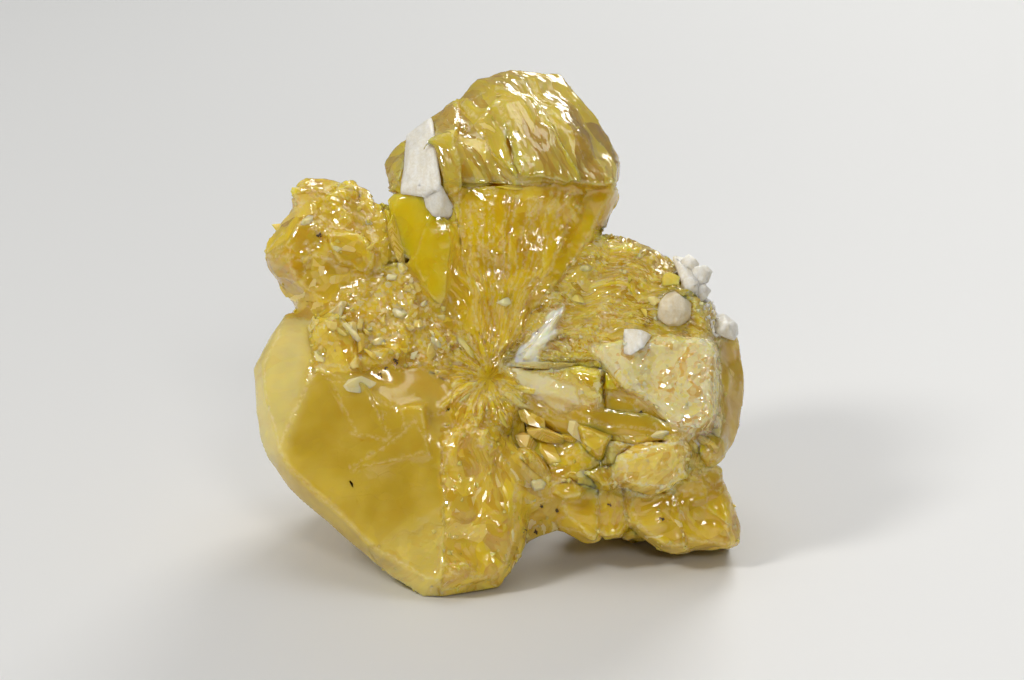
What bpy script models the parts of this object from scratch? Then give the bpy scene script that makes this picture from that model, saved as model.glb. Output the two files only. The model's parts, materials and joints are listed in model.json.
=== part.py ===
"""A radiating cluster of yellow sphalerite crystals with a little white calcite on it.

Metres, +Z up. The cluster is laid out in its own face frame, in millimetres: u runs to the right
across the face, v up the face, and d into the specimen. It then leans back to stand on its feet.
"""

import math
import random

import bmesh
import bpy
from mathutils import Euler, Matrix, Vector
from mathutils.bvhtree import BVHTree

MM = 0.001

# Driving dimensions, in millimetres and degrees
LEAN_BACK = 18.0  # how far the face leans back from upright
FLOOR_LEVEL = -1.25  # height of the floor in the leaned frame, before the cluster is moved to z = 0
MIDDLE = (2.2, 25.8, 8.0)  # the middle of the face: u, v, d
SPREAD = 0.0035  # how much the cluster widens from its middle with each millimetre of depth
HUB = (-0.3, 22.1)  # where the crystals radiate from: u, v
POCKET_GAP = 0.2  # clearance between a white piece and the pocket that it sits in
FLOOR_REACH = 80.0  # size of the slab that trims the feet flat
SEED = 7

# The directions of the flat faces that this mineral grows: dodecahedron, cube and tetrahedron
DODECAHEDRON = [
    Vector(n).normalized()
    for n in (
        (1, 1, 0), (1, -1, 0), (-1, 1, 0), (-1, -1, 0),
        (1, 0, 1), (1, 0, -1), (-1, 0, 1), (-1, 0, -1),
        (0, 1, 1), (0, 1, -1), (0, -1, 1), (0, -1, -1),
    )
]
TETRAHEDRON = [Vector(n).normalized() for n in ((1, 1, 1), (1, -1, -1), (-1, 1, -1), (-1, -1, 1))]
CUBE = [Vector(n) for n in ((1, 0, 0), (-1, 0, 0), (0, 1, 0), (0, -1, 0), (0, 0, 1), (0, 0, -1))]


def to_face(point):
    """(u, v, d) in millimetres, as the face frame's own x, y and z in metres."""
    u, v, d = point
    widen = 1 + SPREAD * (d - MIDDLE[2])
    return Vector((MIDDLE[0] + (u - MIDDLE[0]) * widen, MIDDLE[1] + (v - MIDDLE[1]) * widen, d)) * MM


def flat(depth, per_u, per_v, corners):
    """The corners (u, v) of one flat face, with the depth and its slopes given at the hub."""
    return [(u, v, depth + per_u * (u - HUB[0]) + per_v * (v - HUB[1])) for u, v in corners]


def new_object(name, bm):
    mesh = bpy.data.meshes.new(name)
    bm.normal_update()
    bm.to_mesh(mesh)
    bm.free()
    obj = bpy.data.objects.new(name, mesh)
    bpy.context.scene.collection.objects.link(obj)
    return obj


def convex_solid(points):
    """The closed solid with flat faces that just holds the points, each (u, v, d)."""
    bm = bmesh.new()
    for point in points:
        bm.verts.new(to_face(point))
    bmesh.ops.convex_hull(bm, input=bm.verts)
    loose = [v for v in bm.verts if not v.link_faces]
    bmesh.ops.delete(bm, geom=loose, context="VERTS")
    bmesh.ops.dissolve_limit(bm, angle_limit=math.radians(0.6), verts=bm.verts, edges=bm.edges)
    bmesh.ops.recalc_face_normals(bm, faces=bm.faces)
    return new_object("crystal", bm)


def grown_crystal(centre, size, turn, rng, squash=(1, 1, 1), spread=0.16, simple=False):
    """A crystal bounded by dodecahedron, cube and tetrahedron faces, each at its own distance.

    A simple one has only the dodecahedron faces.
    """
    bm = bmesh.new()
    bmesh.ops.create_cube(bm, size=4 * size * MM)
    faces = [(n, 1.0) for n in DODECAHEDRON]
    if not simple:
        faces += [(n, 1.13) for n in CUBE] + [(n, 0.98) for n in TETRAHEDRON]
    for normal, distance in faces:
        reach = size * MM * distance * rng.uniform(1 - spread, 1 + spread)
        cut = bmesh.ops.bisect_plane(
            bm,
            geom=bm.verts[:] + bm.edges[:] + bm.faces[:],
            plane_co=normal * reach,
            plane_no=normal,
            clear_outer=True,
        )
        rim = [e for e in cut["geom_cut"] if isinstance(e, bmesh.types.BMEdge)]
        if rim:
            bmesh.ops.contextual_create(bm, geom=rim)
    bmesh.ops.remove_doubles(bm, verts=bm.verts, dist=0.02 * size * MM)
    place = Euler([math.radians(a) for a in turn]).to_matrix().to_4x4() @ Matrix.Diagonal((*squash, 1))
    bmesh.ops.transform(bm, matrix=place, verts=bm.verts)
    points = [Vector(centre) + v.co / MM for v in bm.verts]
    bm.free()
    return convex_solid(points)


def evaluated_mesh(obj):
    graph = bpy.context.evaluated_depsgraph_get()
    return bpy.data.meshes.new_from_object(obj.evaluated_get(graph))


def remove(objects):
    for obj in objects:
        bpy.data.objects.remove(obj)


def boolean(obj, others, operation):
    """Joins the others to obj, or cuts them from it, and removes them."""
    group = bpy.data.collections.new("operands")
    bpy.context.scene.collection.children.link(group)
    for other in others:
        bpy.context.scene.collection.objects.unlink(other)
        group.objects.link(other)
    modifier = obj.modifiers.new(operation, "BOOLEAN")
    modifier.operand_type = "COLLECTION"
    modifier.collection = group
    modifier.operation = operation
    bpy.context.view_layer.update()
    mesh = evaluated_mesh(obj)
    obj.modifiers.clear()
    obj.data = mesh
    remove(others)
    bpy.data.collections.remove(group)


def keep_largest_body(obj):
    """Drops any chip that a cut has set free."""
    bm = bmesh.new()
    bm.from_mesh(obj.data)
    bodies, seen = [], set()
    for start in bm.verts:
        if start in seen:
            continue
        body, todo = [], [start]
        seen.add(start)
        while todo:
            vert = todo.pop()
            body.append(vert)
            for edge in vert.link_edges:
                other = edge.other_vert(vert)
                if other not in seen:
                    seen.add(other)
                    todo.append(other)
        bodies.append(body)
    largest = max(bodies, key=len)
    chips = [v for body in bodies if body is not largest for v in body]
    bmesh.ops.delete(bm, geom=chips, context="VERTS")
    bm.to_mesh(obj.data)
    bm.free()


def surface_finder(objects):
    """A function that gives the depth at which a line into the face first meets the objects."""
    verts, faces = [], []
    for obj in objects:
        start = len(verts)
        verts += [v.co.copy() for v in obj.data.vertices]
        faces += [[start + i for i in p.vertices] for p in obj.data.polygons]
    tree = BVHTree.FromPolygons(verts, faces)

    def depth_at(u, v):
        start = to_face((u, v, MIDDLE[2])) - Vector((0, 0, FLOOR_REACH * MM))
        hit = tree.ray_cast(start, Vector((0, 0, 1)))[0]
        return None if hit is None else hit.z / MM

    return depth_at


def crown_crystals():
    """The tall crystal at the top: a clear cap above a ledge, and the body that narrows to the hub."""
    left_shoulder = [
        (-10.6, 43.4, 12), (-10.2, 44.2, 12.5), (-8.2, 46.4, 12.5), (-6.2, 47.8, 13), (-4.6, 48.8, 13),
        (-3.0, 49.9, 13.5), (-10.0, 40.5, 11), (-8.0, 44.0, 19), (-3.0, 47.0, 21), (-5.0, 38.0, 20),
        *flat(-1.6, -0.42, 0.27, [(-8.6, 41.6), (-6.2, 45.6), (-3.4, 46.6), (-3.0, 41.0), (-6.6, 39.8)]),
    ]
    cap = [
        (-3.1, 49.7, 13.5), (-2.2, 50.6, 14), (-2.0, 51.3, 14), (-1.3, 51.9, 14), (0.2, 52.2, 14),
        (1.8, 52.9, 14.5), (2.2, 53.0, 14.5), (6.9, 52.6, 14.5), (8.2, 51.2, 14), (9.6, 49.3, 13.4),
        (11.8, 46.4, 12.4), (13.0, 44.5, 11.8), (13.2, 44.0, 11.5), (12.9, 41.6, 10.5),
        *flat(-0.6, -0.10, 0.36, [(-4.4, 41.9), (0.5, 41.7), (8.5, 41.4), (12.3, 41.5), (9.6, 45.6),
                                  (6.6, 48.6), (1.0, 49.6), (-2.4, 47.0)]),
        (-2.0, 49.0, 23), (6.0, 50.0, 23), (11.0, 44.0, 22), (0.0, 38.0, 25), (9.5, 37.5, 22),
    ]
    body = [
        (13.2, 40.5, 11), (12.5, 39.1, 11.4), (11.8, 37.6, 11.8), (10.8, 36.6, 12), (8.5, 34.3, 12.5),
        (6.5, 33.0, 12.5), (2.5, 26.5, 12.5), (0.6, 23.0, 12), (-1.4, 23.0, 12), (12.8, 41.2, 9.8),
        (-3.6, 28.0, 11.2), (-1.0, 40.0, 21), (10.0, 38.0, 20), (3.0, 28.0, 21), (-3.5, 30.0, 20),
        *flat(9.0, 0.0, -0.11, [(-4.4, 41.2), (12.2, 41.2), (11.2, 38.6), (8.2, 35.0), (2.6, 26.6),
                                (0.6, 23.4), (-1.2, 23.2), (-4.4, 31.0)]),
    ]
    left_ridge = [
        (-3.0, 49.4, 11.6), (-1.8, 48.6, 9.8), (-1.0, 47.2, 8.2), (-0.3, 45.8, 7.2), (0.4, 44.4, 6.2),
        (2.0, 42.6, 5.0), (2.9, 41.9, 4.6), (1.5, 46.4, 6.4), (1.0, 48.8, 8.6), (0.1, 50.8, 11.6),
        (-1.0, 48.0, 14), (1.0, 44.0, 12),
    ]
    middle_ridge = [
        (0.2, 50.9, 11.4), (1.1, 48.6, 8.2), (1.7, 46.4, 6.4), (2.4, 44.0, 4.9), (3.1, 42.1, 3.9),
        (9.4, 41.5, 4.5), (8.7, 43.1, 4.5), (7.3, 45.9, 5.4), (5.2, 48.8, 7.4), (4.5, 50.2, 8.9),
        (2.0, 50.0, 14), (5.0, 44.0, 12),
    ]
    flank = [
        (7.0, 50.4, 11.6), (9.8, 48.4, 12.4), (11.6, 46.0, 11.4), (12.8, 44.0, 10.6), (12.6, 41.8, 8.8),
        (9.8, 41.6, 5.8), (8.8, 45.2, 6.6), (6.8, 48.8, 9.0), (9.0, 46.0, 14), (11.0, 43.0, 13),
    ]
    return [convex_solid(p) for p in (left_shoulder, cap, body, left_ridge, middle_ridge, flank)]


def wedge_crystal():
    """The smooth bright crystal between the crown and the knob."""
    broad_face = [
        *flat(3.2, -0.34, 0.06, [(-9.8, 38.9), (-9.0, 40.2), (-6.4, 40.2), (-5.4, 37.6), (-7.9, 33.9)]),
        (-10.3, 39.7, 9.4), (-9.4, 40.5, 9), (-6.0, 40.4, 8), (-6.6, 35.0, 14), (-9.4, 38.5, 14),
        (-8.6, 34.0, 8.4), (-5.2, 36.6, 8),
    ]
    narrow_face = [
        *flat(6.4, 0.10, -0.02, [(-6.0, 38.6), (-5.2, 38.5), (-4.0, 36.0), (-4.5, 30.0), (-5.4, 29.4),
                                 (-7.8, 33.9)]),
        (-4.4, 38.2, 9), (-3.6, 34.0, 9.6), (-4.4, 29.0, 10.6), (-8.4, 33.8, 9), (-4.6, 36.0, 14),
        (-6.0, 31.0, 14),
    ]
    return [convex_solid(p) for p in (broad_face, narrow_face)]


def knob_crystals():
    """The rounded group of crystals at the upper left, with its small points along the top."""
    smooth_lobe = [
        (-20.4, 30.1, 13), (-21.5, 31.8, 12.5), (-22.3, 33.3, 12), (-22.5, 34.5, 12), (-19.0, 29.0, 12.5),
        (-20.0, 33.0, 18), (-12.0, 33.0, 20), (-13.0, 29.0, 19), (-15.0, 28.2, 11), (-11.0, 30.0, 10.4),
        *flat(6.8, -0.09, -0.07, [(-19.6, 34.2), (-16.6, 35.6), (-12.2, 33.6), (-11.8, 31.2),
                                  (-15.4, 29.6), (-18.8, 31.0)]),
    ]
    rough_lobe = [
        (-22.5, 34.6, 12.5), (-21.5, 36.8, 12), (-20.7, 38.3, 11.5), (-19.8, 39.3, 11), (-16.0, 40.8, 10.6),
        (-11.8, 40.0, 11), (-10.7, 39.3, 12), (-9.6, 36.0, 11), (-11.0, 32.0, 9.6),
        *flat(4.2, -0.06, 0.17, [(-20.6, 35.2), (-19.2, 37.4), (-16.2, 38.8), (-12.8, 38.4),
                                 (-11.4, 35.0), (-12.4, 33.2), (-17.0, 34.0)]),
        (-19.0, 38.0, 19), (-12.0, 38.0, 21), (-10.0, 34.0, 21), (-20.0, 34.0, 18),
    ]
    top_nub = [
        (-19.7, 42.0, 11), (-19.3, 42.4, 11), (-17.6, 42.2, 11), (-15.8, 41.8, 11), (-15.0, 41.4, 10.6),
        (-20.0, 40.4, 10.6), (-19.8, 39.0, 10), (-15.5, 39.0, 9.4), (-17.6, 40.4, 8.2), (-18.6, 40.4, 15),
        (-15.4, 40.4, 15), (-18.9, 41.2, 8.8),
    ]
    first_point = [
        (-15.1, 41.5, 10.6), (-14.4, 42.0, 11), (-13.2, 41.6, 11), (-12.8, 40.8, 10.4), (-13.4, 39.4, 8.4),
        (-15.1, 39.4, 8.8), (-14.2, 40.8, 8.6), (-14.0, 39.8, 14),
    ]
    second_point = [
        (-12.9, 41.3, 11), (-11.9, 41.0, 11), (-11.5, 40.2, 10.8), (-11.6, 38.4, 8.6), (-13.2, 39.2, 9.0),
        (-12.4, 40.2, 8.6), (-12.3, 39.3, 14),
    ]
    left_face = [
        (-22.4, 34.4, 10.8), (-21.0, 36.6, 9.8), (-19.0, 36.6, 8.0), (-17.8, 33.9, 7.0), (-19.0, 31.5, 8.2),
        (-21.4, 31.9, 10.4), (-20.0, 34.2, 7.3), (-20.0, 34.0, 14),
    ]
    inner_block = [
        *flat(5.8, 0.02, 0.02, [(-16.4, 36.8), (-13.4, 37.0), (-11.6, 34.6), (-12.6, 32.6), (-15.2, 33.8)]),
        (-17.0, 36.0, 8), (-12.6, 38.0, 9), (-11.0, 34.4, 8.4), (-12.4, 31.8, 8), (-15.4, 33.0, 8),
        (-14.0, 35.0, 12),
    ]
    lobes = (smooth_lobe, rough_lobe, top_nub, first_point, second_point, left_face, inner_block)
    return [convex_solid(p) for p in lobes]


def joint_crystals():
    """The masses between the large crystals, that carry the hub and the small crystals on it."""
    upper_joint = [
        (-16.0, 30.4, 10.4), (-9.8, 33.6, 9.6), (-4.2, 33.8, 9.4), (-1.4, 28.0, 10), (-1.6, 23.4, 8.8),
        (-5.0, 22.4, 7.0), (-10.0, 23.4, 6.0), (-15.6, 24.4, 6.8), (-12.6, 29.0, 7.4), (-7.4, 28.4, 7.8),
        (-12.0, 31.0, 20), (-3.0, 29.0, 20), (-3.0, 21.0, 20), (-14.0, 24.0, 18),
    ]
    hub_mass = [
        (-3.4, 24.6, 9.4), (1.2, 25.4, 9.6), (3.0, 22.6, 9.0), (2.6, 18.0, 7.4), (-0.8, 16.4, 5.8),
        (-4.2, 17.6, 5.2), (-4.6, 21.6, 6.9), (-0.3, 22.1, 7.7), (-1.6, 19.4, 5.8), (0.0, 24.0, 16),
        (2.0, 17.0, 16), (-4.0, 18.0, 16),
    ]
    golden_slope = [
        (-12.0, 22.0, 5.4), (-12.2, 18.0, 3.9), (-8.2, 18.6, 3.4), (-4.4, 18.4, 4.6), (-3.6, 21.4, 6.6),
        (-8.0, 23.8, 6.6), (-11.6, 23.6, 6.6), (-8.0, 21.0, 14), (-5.0, 19.0, 14),
    ]
    return [convex_solid(p) for p in (upper_joint, hub_mass, golden_slope)]


def lower_left_crystals():
    """The large milky crystal at the lower left, the rougher one beside it, and their broken steps."""
    large = [
        (-19.0, 29.4, 13), (-20.5, 28.3, 12), (-22.0, 26.3, 11.5), (-23.2, 24.6, 11), (-23.9, 23.0, 11),
        (-23.5, 20.3, 10.6), (-23.0, 15.8, 10), (-22.4, 13.9, 9.6), (-20.5, 11.2, 9.2), (-17.9, 8.8, 8.6),
        (-14.8, 6.1, 7.8), (-12.4, 4.1, 7.2), (-9.7, 2.2, 6.4), (-6.7, 0.2, 5.2), (-4.8, 0.2, 5.0),
        *flat(1.9, -0.17, -0.02, [(-17.2, 23.4), (-20.1, 17.8), (-21.3, 14.9), (-20.0, 12.7), (-12.2, 5.6),
                                  (-6.4, 1.6), (-5.0, 1.6), (-4.7, 9.0), (-4.8, 15.0), (-8.0, 18.0)]),
        (-22.9, 23.3, 8.6), (-21.4, 26.0, 8.8), (-17.4, 26.8, 7.4), (-2.0, 20.4, 8), (-3.0, 26.0, 11),
        (-10.0, 27.6, 10.4), (-18.0, 24.0, 21), (-19.0, 17.0, 20), (-12.0, 8.0, 18), (-6.0, 5.0, 14),
        (-8.0, 24.0, 23), (-4.0, 12.0, 20), (-7.4, 1.3, 9.2), (-4.8, 1.4, 9.6),
    ]
    rough = [
        (-6.2, 0.2, 5.2), (-4.6, 0.2, 5.0), (-2.0, 1.4, 5.4), (0.9, 1.1, 6.4), (1.7, 1.8, 7), (3.0, 4.4, 8),
        (3.7, 5.3, 8.5), (4.5, 6.8, 9.5), (5.0, 8.2, 10), (3.4, 14.0, 8.6), (0.4, 20.4, 9.8),
        *flat(3.6, 0.27, -0.02, [(-4.7, 13.4), (-5.2, 1.8), (-2.4, 2.2), (0.6, 2.1), (1.8, 4.0), (3.0, 7.0),
                                 (2.8, 12.0), (-0.6, 16.6), (-3.8, 16.6)]),
        (-4.0, 4.0, 14), (1.0, 5.0, 13), (2.0, 14.0, 17), (-5.0, 16.0, 18), (-3.0, 1.7, 9.6),
    ]
    pale_step = [
        *flat(0.9, -0.19, 0.0, [(-16.2, 21.8), (-12.6, 21.7), (-12.1, 17.7), (-9.9, 15.8), (-13.4, 16.2),
                                (-15.2, 20.6)]),
        (-16.4, 22.2, 6), (-12.2, 22.1, 6), (-11.6, 17.8, 5), (-9.4, 15.4, 4), (-14.0, 16.6, 5),
    ]
    lower_step = [
        *flat(0.8, -0.16, 0.0, [(-9.8, 15.9), (-7.6, 17.8), (-6.4, 16.2), (-6.0, 14.4), (-8.8, 14.0)]),
        (-15.0, 12.6, 4.8), (-11.6, 15.4, 5), (-7.6, 18.4, 5), (-5.6, 14.2, 4), (-8.8, 13.6, 4),
    ]
    side_step = [
        *flat(1.1, -0.16, 0.02, [(-9.2, 19.0), (-6.8, 19.2), (-6.4, 16.4), (-8.6, 16.8)]),
        (-9.8, 19.0, 5), (-6.4, 19.6, 5), (-6.0, 16.0, 5), (-8.8, 16.2, 5),
    ]
    pale_block = [
        *flat(2.8, -0.12, 0.0, [(-17.4, 27.0), (-15.6, 28.4), (-13.4, 26.4), (-12.8, 24.0), (-14.4, 23.2),
                                (-17.0, 23.6)]),
        (-18.0, 27.8, 9), (-15.6, 29.8, 9), (-12.6, 27.4, 9), (-12.0, 23.6, 8), (-14.4, 22.4, 7),
        (-17.6, 22.8, 7), (-15.6, 26.4, 4.0), (-15.0, 26.0, 13),
    ]
    front_chip = [
        *flat(4.4, -0.07, 0.0, [(-12.2, 24.7), (-9.8, 25.2), (-9.2, 24.4), (-10.9, 23.2)]),
        (-12.6, 25.2, 9), (-9.6, 26.0, 9), (-8.6, 24.2, 9), (-10.9, 22.7, 9),
    ]
    tip_scallop = [
        (-5.0, 0.3, 4.2), (-1.6, 1.3, 4.6), (-2.2, 3.4, 2.8), (-5.2, 3.2, 2.4), (-3.4, 2.0, 2.7),
        (-3.4, 1.8, 8),
    ]
    shapes = (large, rough, pale_step, lower_step, side_step, pale_block, front_chip, tip_scallop)
    return [convex_solid(p) for p in shapes]


def fan_crystals():
    """The fan of bladed crystals on the right, from the hub out to the broken right-hand edge."""
    ridge = [
        (0.8, 24.4, 10.4), (10.8, 36.5, 11), (11.4, 36.9, 11.5), (12.8, 36.4, 10.6), (12.0, 34.4, 7.4),
        (7.6, 30.2, 7.6), (2.6, 24.9, 8.6), (1.0, 23.4, 9.6), (10.0, 33.0, 16), (3.0, 25.0, 15),
    ]
    upper_blade = [
        (11.4, 36.9, 12), (12.9, 36.6, 11), (14.4, 36.0, 10.6), (17.0, 34.5, 10.2), (19.0, 33.4, 10.2),
        (21.0, 31.2, 10.2), (21.6, 29.2, 10.6), (22.8, 27.4, 11), (24.0, 26.2, 11.2), (22.0, 24.5, 9),
        (0.9, 23.1, 9.8),
        *flat(8.9, -0.12, -0.02, [(2.6, 24.4), (12.2, 35.2), (14.8, 34.6), (18.6, 32.2), (20.2, 30.2),
                                  (21.4, 27.2), (22.0, 25.4), (11.0, 23.8)]),
        (12.0, 34.0, 19), (20.0, 30.0, 20), (22.0, 25.0, 19), (6.0, 26.0, 20),
    ]
    pale_block = [
        *flat(5.9, -0.09, 0.03, [(10.8, 25.1), (16.0, 25.5), (21.0, 25.9), (22.2, 24.8), (21.9, 17.8),
                                 (20.0, 17.0), (16.2, 19.8), (14.0, 21.4)]),
        (9.6, 25.4, 8), (16.0, 26.4, 7), (21.4, 26.9, 8), (23.0, 25.0, 8), (22.8, 17.0, 8.4), (20.0, 15.8, 8),
        (15.6, 19.2, 7), (13.0, 21.4, 7), (21.0, 24.0, 18), (21.0, 17.0, 17), (13.0, 21.0, 16),
    ]
    right_side = [
        (25.2, 25.3, 12.8), (24.4, 27.0, 12.4), (25.1, 22.3, 13.2), (25.5, 19.6, 12.6), (25.2, 17.3, 12.4),
        (24.4, 15.4, 12.4), (23.5, 14.0, 12.4), (22.6, 16.0, 8.6), (23.0, 25.2, 8.8), (24.0, 24.0, 20),
        (23.5, 17.0, 19), (18.0, 22.0, 22), (18.0, 16.0, 21),
    ]
    bright_blade = [
        *flat(7.6, -0.16, 0.0, [(1.6, 22.9), (7.0, 22.4), (11.0, 22.6), (10.8, 19.6), (8.0, 19.3),
                                (5.2, 20.4)]),
        (0.2, 23.0, 10), (7.0, 22.9, 9), (11.8, 23.2, 9), (11.4, 19.0, 8.4), (8.0, 18.6, 8.4),
        (4.4, 20.0, 9), (9.0, 21.0, 14),
    ]
    sliver = [
        *flat(7.1, -0.07, 0.0, [(3.2, 23.9), (3.9, 23.8), (5.6, 26.0), (6.9, 28.4), (6.0, 27.6),
                                (4.5, 25.6)]),
        (2.8, 23.7, 10), (4.2, 23.4, 10), (6.2, 26.0, 9.6), (7.1, 28.8, 9.4), (4.2, 26.0, 9.6),
    ]
    lower_blade = [
        (0.0, 21.0, 10), (6.0, 18.0, 8.6), (12.0, 17.2, 6.9), (17.0, 16.6, 6.6), (22.6, 15.4, 8.4),
        (16.0, 18.4, 6.6), (9.0, 18.4, 7.4), (20.0, 14.0, 16), (12.0, 13.0, 17), (4.0, 18.0, 17),
    ]
    shapes = (ridge, upper_blade, pale_block, right_side, bright_blade, sliver, lower_blade)
    return [convex_solid(p) for p in shapes]


def lower_row_crystals():
    """The row of blunt points under the fan, with the broken blocks above them."""
    row_body = [
        (5.4, 8.4, 11.4), (3.4, 17.0, 9.6), (10.0, 15.6, 9.0), (17.0, 15.0, 8.6), (23.2, 13.4, 10.8),
        (23.4, 9.0, 11.4), (16.0, 8.4, 10.4), (8.0, 9.0, 10.6), (22.0, 12.0, 20), (8.0, 10.0, 19),
        (14.0, 8.4, 18),
    ]
    row_root = [
        (2.6, 5.0, 10.6), (4.4, 7.0, 10.4), (6.4, 7.2, 10.4), (7.6, 7.4, 10.8), (8.4, 11.6, 9.4),
        (2.6, 15.0, 8.2), (1.8, 8.0, 9), (5.4, 9.6, 7.8), (5.0, 9.0, 17), (3.0, 12.0, 17), (8.0, 12.0, 17),
    ]
    right_point = [
        *flat(7.5, 0.06, -0.05, [(18.9, 5.6), (24.2, 5.6), (23.8, 9.0), (21.4, 10.2), (18.2, 10.6)]),
        (23.3, 12.0, 11), (24.4, 9.6, 11.5), (25.0, 7.3, 11.5), (24.9, 5.3, 12), (24.2, 4.9, 12.5),
        (19.2, 4.9, 12.5), (17.6, 8.0, 11), (17.8, 11.2, 9.7), (23.0, 11.0, 19), (23.6, 5.4, 20),
        (19.4, 5.4, 20), (18.0, 9.0, 19),
    ]
    corner_face = [
        *flat(7.0, 0.06, -0.04, [(21.8, 8.9), (24.0, 7.6), (24.1, 9.2), (23.2, 11.2), (21.6, 10.8)]),
        (21.2, 9.0, 10), (24.8, 7.2, 11), (24.4, 9.8, 11), (23.3, 12.0, 11), (21.2, 11.2, 10.4),
    ]
    second_point = [
        *flat(7.9, 0.03, -0.04, [(14.8, 7.2), (17.2, 5.2), (19.4, 5.0), (18.6, 10.4), (17.2, 10.8),
                                 (14.4, 10.8)]),
        (20.2, 4.9, 13), (19.7, 4.3, 13), (18.4, 4.2, 13), (16.9, 4.7, 12.5), (15.0, 6.1, 11.5),
        (14.0, 6.8, 11), (13.4, 11.4, 10), (19.0, 7.0, 19), (14.0, 9.0, 17),
    ]
    third_point = [
        *flat(8.1, 0.02, -0.03, [(10.8, 7.0), (11.4, 6.2), (13.2, 6.3), (13.8, 7.4), (13.6, 11.0),
                                 (10.6, 11.2)]),
        (14.0, 6.9, 11.4), (13.3, 5.7, 11.4), (12.0, 5.6, 11.4), (11.0, 6.0, 11), (10.2, 7.2, 10.6),
        (10.2, 11.6, 10), (12.0, 8.0, 16),
    ]
    fourth_point = [
        *flat(8.0, -0.02, -0.03, [(7.6, 8.2), (9.8, 6.2), (10.6, 6.1), (10.8, 7.6), (10.4, 11.2),
                                  (7.0, 11.6)]),
        (6.3, 7.2, 10.6), (7.6, 7.3, 11), (9.8, 5.5, 11.4), (10.6, 5.5, 11.4), (11.1, 6.2, 11),
        (6.0, 11.8, 10), (9.0, 8.2, 15),
    ]
    centre_block = [
        *flat(5.0, -0.03, 0.0, [(9.0, 17.2), (10.8, 16.3), (11.9, 15.9), (11.4, 14.9), (10.9, 13.9),
                                (9.6, 15.2)]),
        (8.3, 17.6, 8), (10.8, 17.0, 8), (12.6, 16.2, 8), (12.0, 14.6, 8), (11.0, 13.2, 8), (8.3, 16.0, 8),
    ]
    wide_block = [
        *flat(5.6, -0.02, -0.03, [(13.4, 11.9), (14.2, 13.2), (18.8, 12.8), (17.8, 11.2), (16.4, 11.3)]),
        *flat(5.4, 0.0, 0.03, [(13.4, 13.8), (15.4, 15.2), (18.8, 15.4), (19.8, 14.3), (19.2, 13.2)]),
        (12.4, 11.2, 8), (12.2, 14.2, 8), (15.0, 16.0, 8), (19.4, 16.0, 8), (20.6, 14.2, 8), (18.4, 10.5, 8),
        (16.0, 10.5, 8), (16.0, 13.6, 14),
    ]
    left_block = [
        *flat(6.0, -0.02, 0.0, [(9.2, 12.4), (12.2, 13.2), (12.6, 11.4), (11.0, 11.2)]),
        (8.4, 12.7, 9), (12.6, 13.9, 9), (13.2, 11.0, 9), (10.8, 10.5, 9),
    ]
    corner_block = [
        (21.1, 16.8, 6.6), (22.0, 14.2, 6.9), (23.3, 16.2, 8.0), (20.4, 14.6, 7.6), (20.2, 16.6, 8.2),
        (23.6, 14.4, 9.6), (22.0, 13.0, 9.6), (22.0, 15.0, 13), (21.2, 13.4, 8.8),
    ]
    hub_block = [
        (3.0, 15.0, 5.6), (4.6, 15.2, 6.0), (6.0, 14.0, 6.4), (6.0, 12.4, 7.0), (4.2, 12.8, 6.4),
        (2.8, 13.6, 6.2), (4.4, 14.3, 4.7), (4.6, 14.0, 12), (6.6, 12.0, 9), (2.4, 15.2, 9),
    ]
    round_block = [
        *flat(6.6, -0.02, 0.0, [(6.8, 11.4), (8.4, 11.3), (8.7, 10.2), (7.2, 9.8), (6.3, 10.6)]),
        (6.6, 12.2, 9.6), (9.0, 11.8, 9.6), (9.3, 10.0, 9.6), (7.2, 9.0, 9.6), (5.6, 10.4, 9.6),
    ]
    shapes = (
        row_body, row_root, right_point, corner_face, second_point, third_point, fourth_point,
        centre_block, wide_block, left_block, corner_block, hub_block, round_block,
    )
    return [convex_solid(p) for p in shapes]


def back_crystals(rng):
    """The well-formed crystals behind the face."""
    places = (
        # centre, size, turn, squash
        ((1.5, 27.0, 22.5), 9.6, (20, 35, 12), (1.05, 1.1, 1.0)),
        ((3.4, 41.0, 19.0), 7.5, (50, 10, 30), (1.0, 1.0, 0.95)),
        ((-13.0, 33.6, 18.0), 6.2, (10, 60, 40), (1.05, 0.9, 1.0)),
        ((-13.0, 19.0, 19.0), 8.6, (35, 20, 65), (1.0, 1.05, 1.0)),
        ((15.4, 24.0, 18.5), 7.9, (65, 30, 15), (1.0, 1.1, 1.0)),
        ((13.2, 13.8, 18.5), 7.0, (15, 45, 70), (1.1, 0.85, 1.0)),
        ((-3.0, 15.6, 18.0), 7.8, (40, 55, 20), (1.0, 1.0, 1.0)),
    )
    return [grown_crystal(c, size, turn, rng, squash) for c, size, turn, squash in places]


def rear_feet():
    """The two crystal ends at the back that the cluster stands on, with the point at the front."""
    left_foot = [
        (-18.0, 14.0, 20), (-16.4, 8.2, 23), (-14.6, 6.4, 29), (-9.4, 6.0, 28), (-8.0, 7.6, 23),
        (-13.0, 7.4, 19), (-8.6, 14.0, 28), (-16.4, 15.6, 29), (-10.0, 15.0, 16), (-12.0, 19.0, 26),
    ]
    right_foot = [
        (20.8, 12.0, 19), (20.4, 7.4, 23), (18.4, 6.2, 29), (13.0, 6.2, 28), (11.4, 7.8, 22),
        (12.0, 15.0, 28), (19.6, 14.6, 27), (12.0, 14.0, 16), (16.0, 19.0, 26),
    ]
    return [convex_solid(p) for p in (left_foot, right_foot)]


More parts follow.
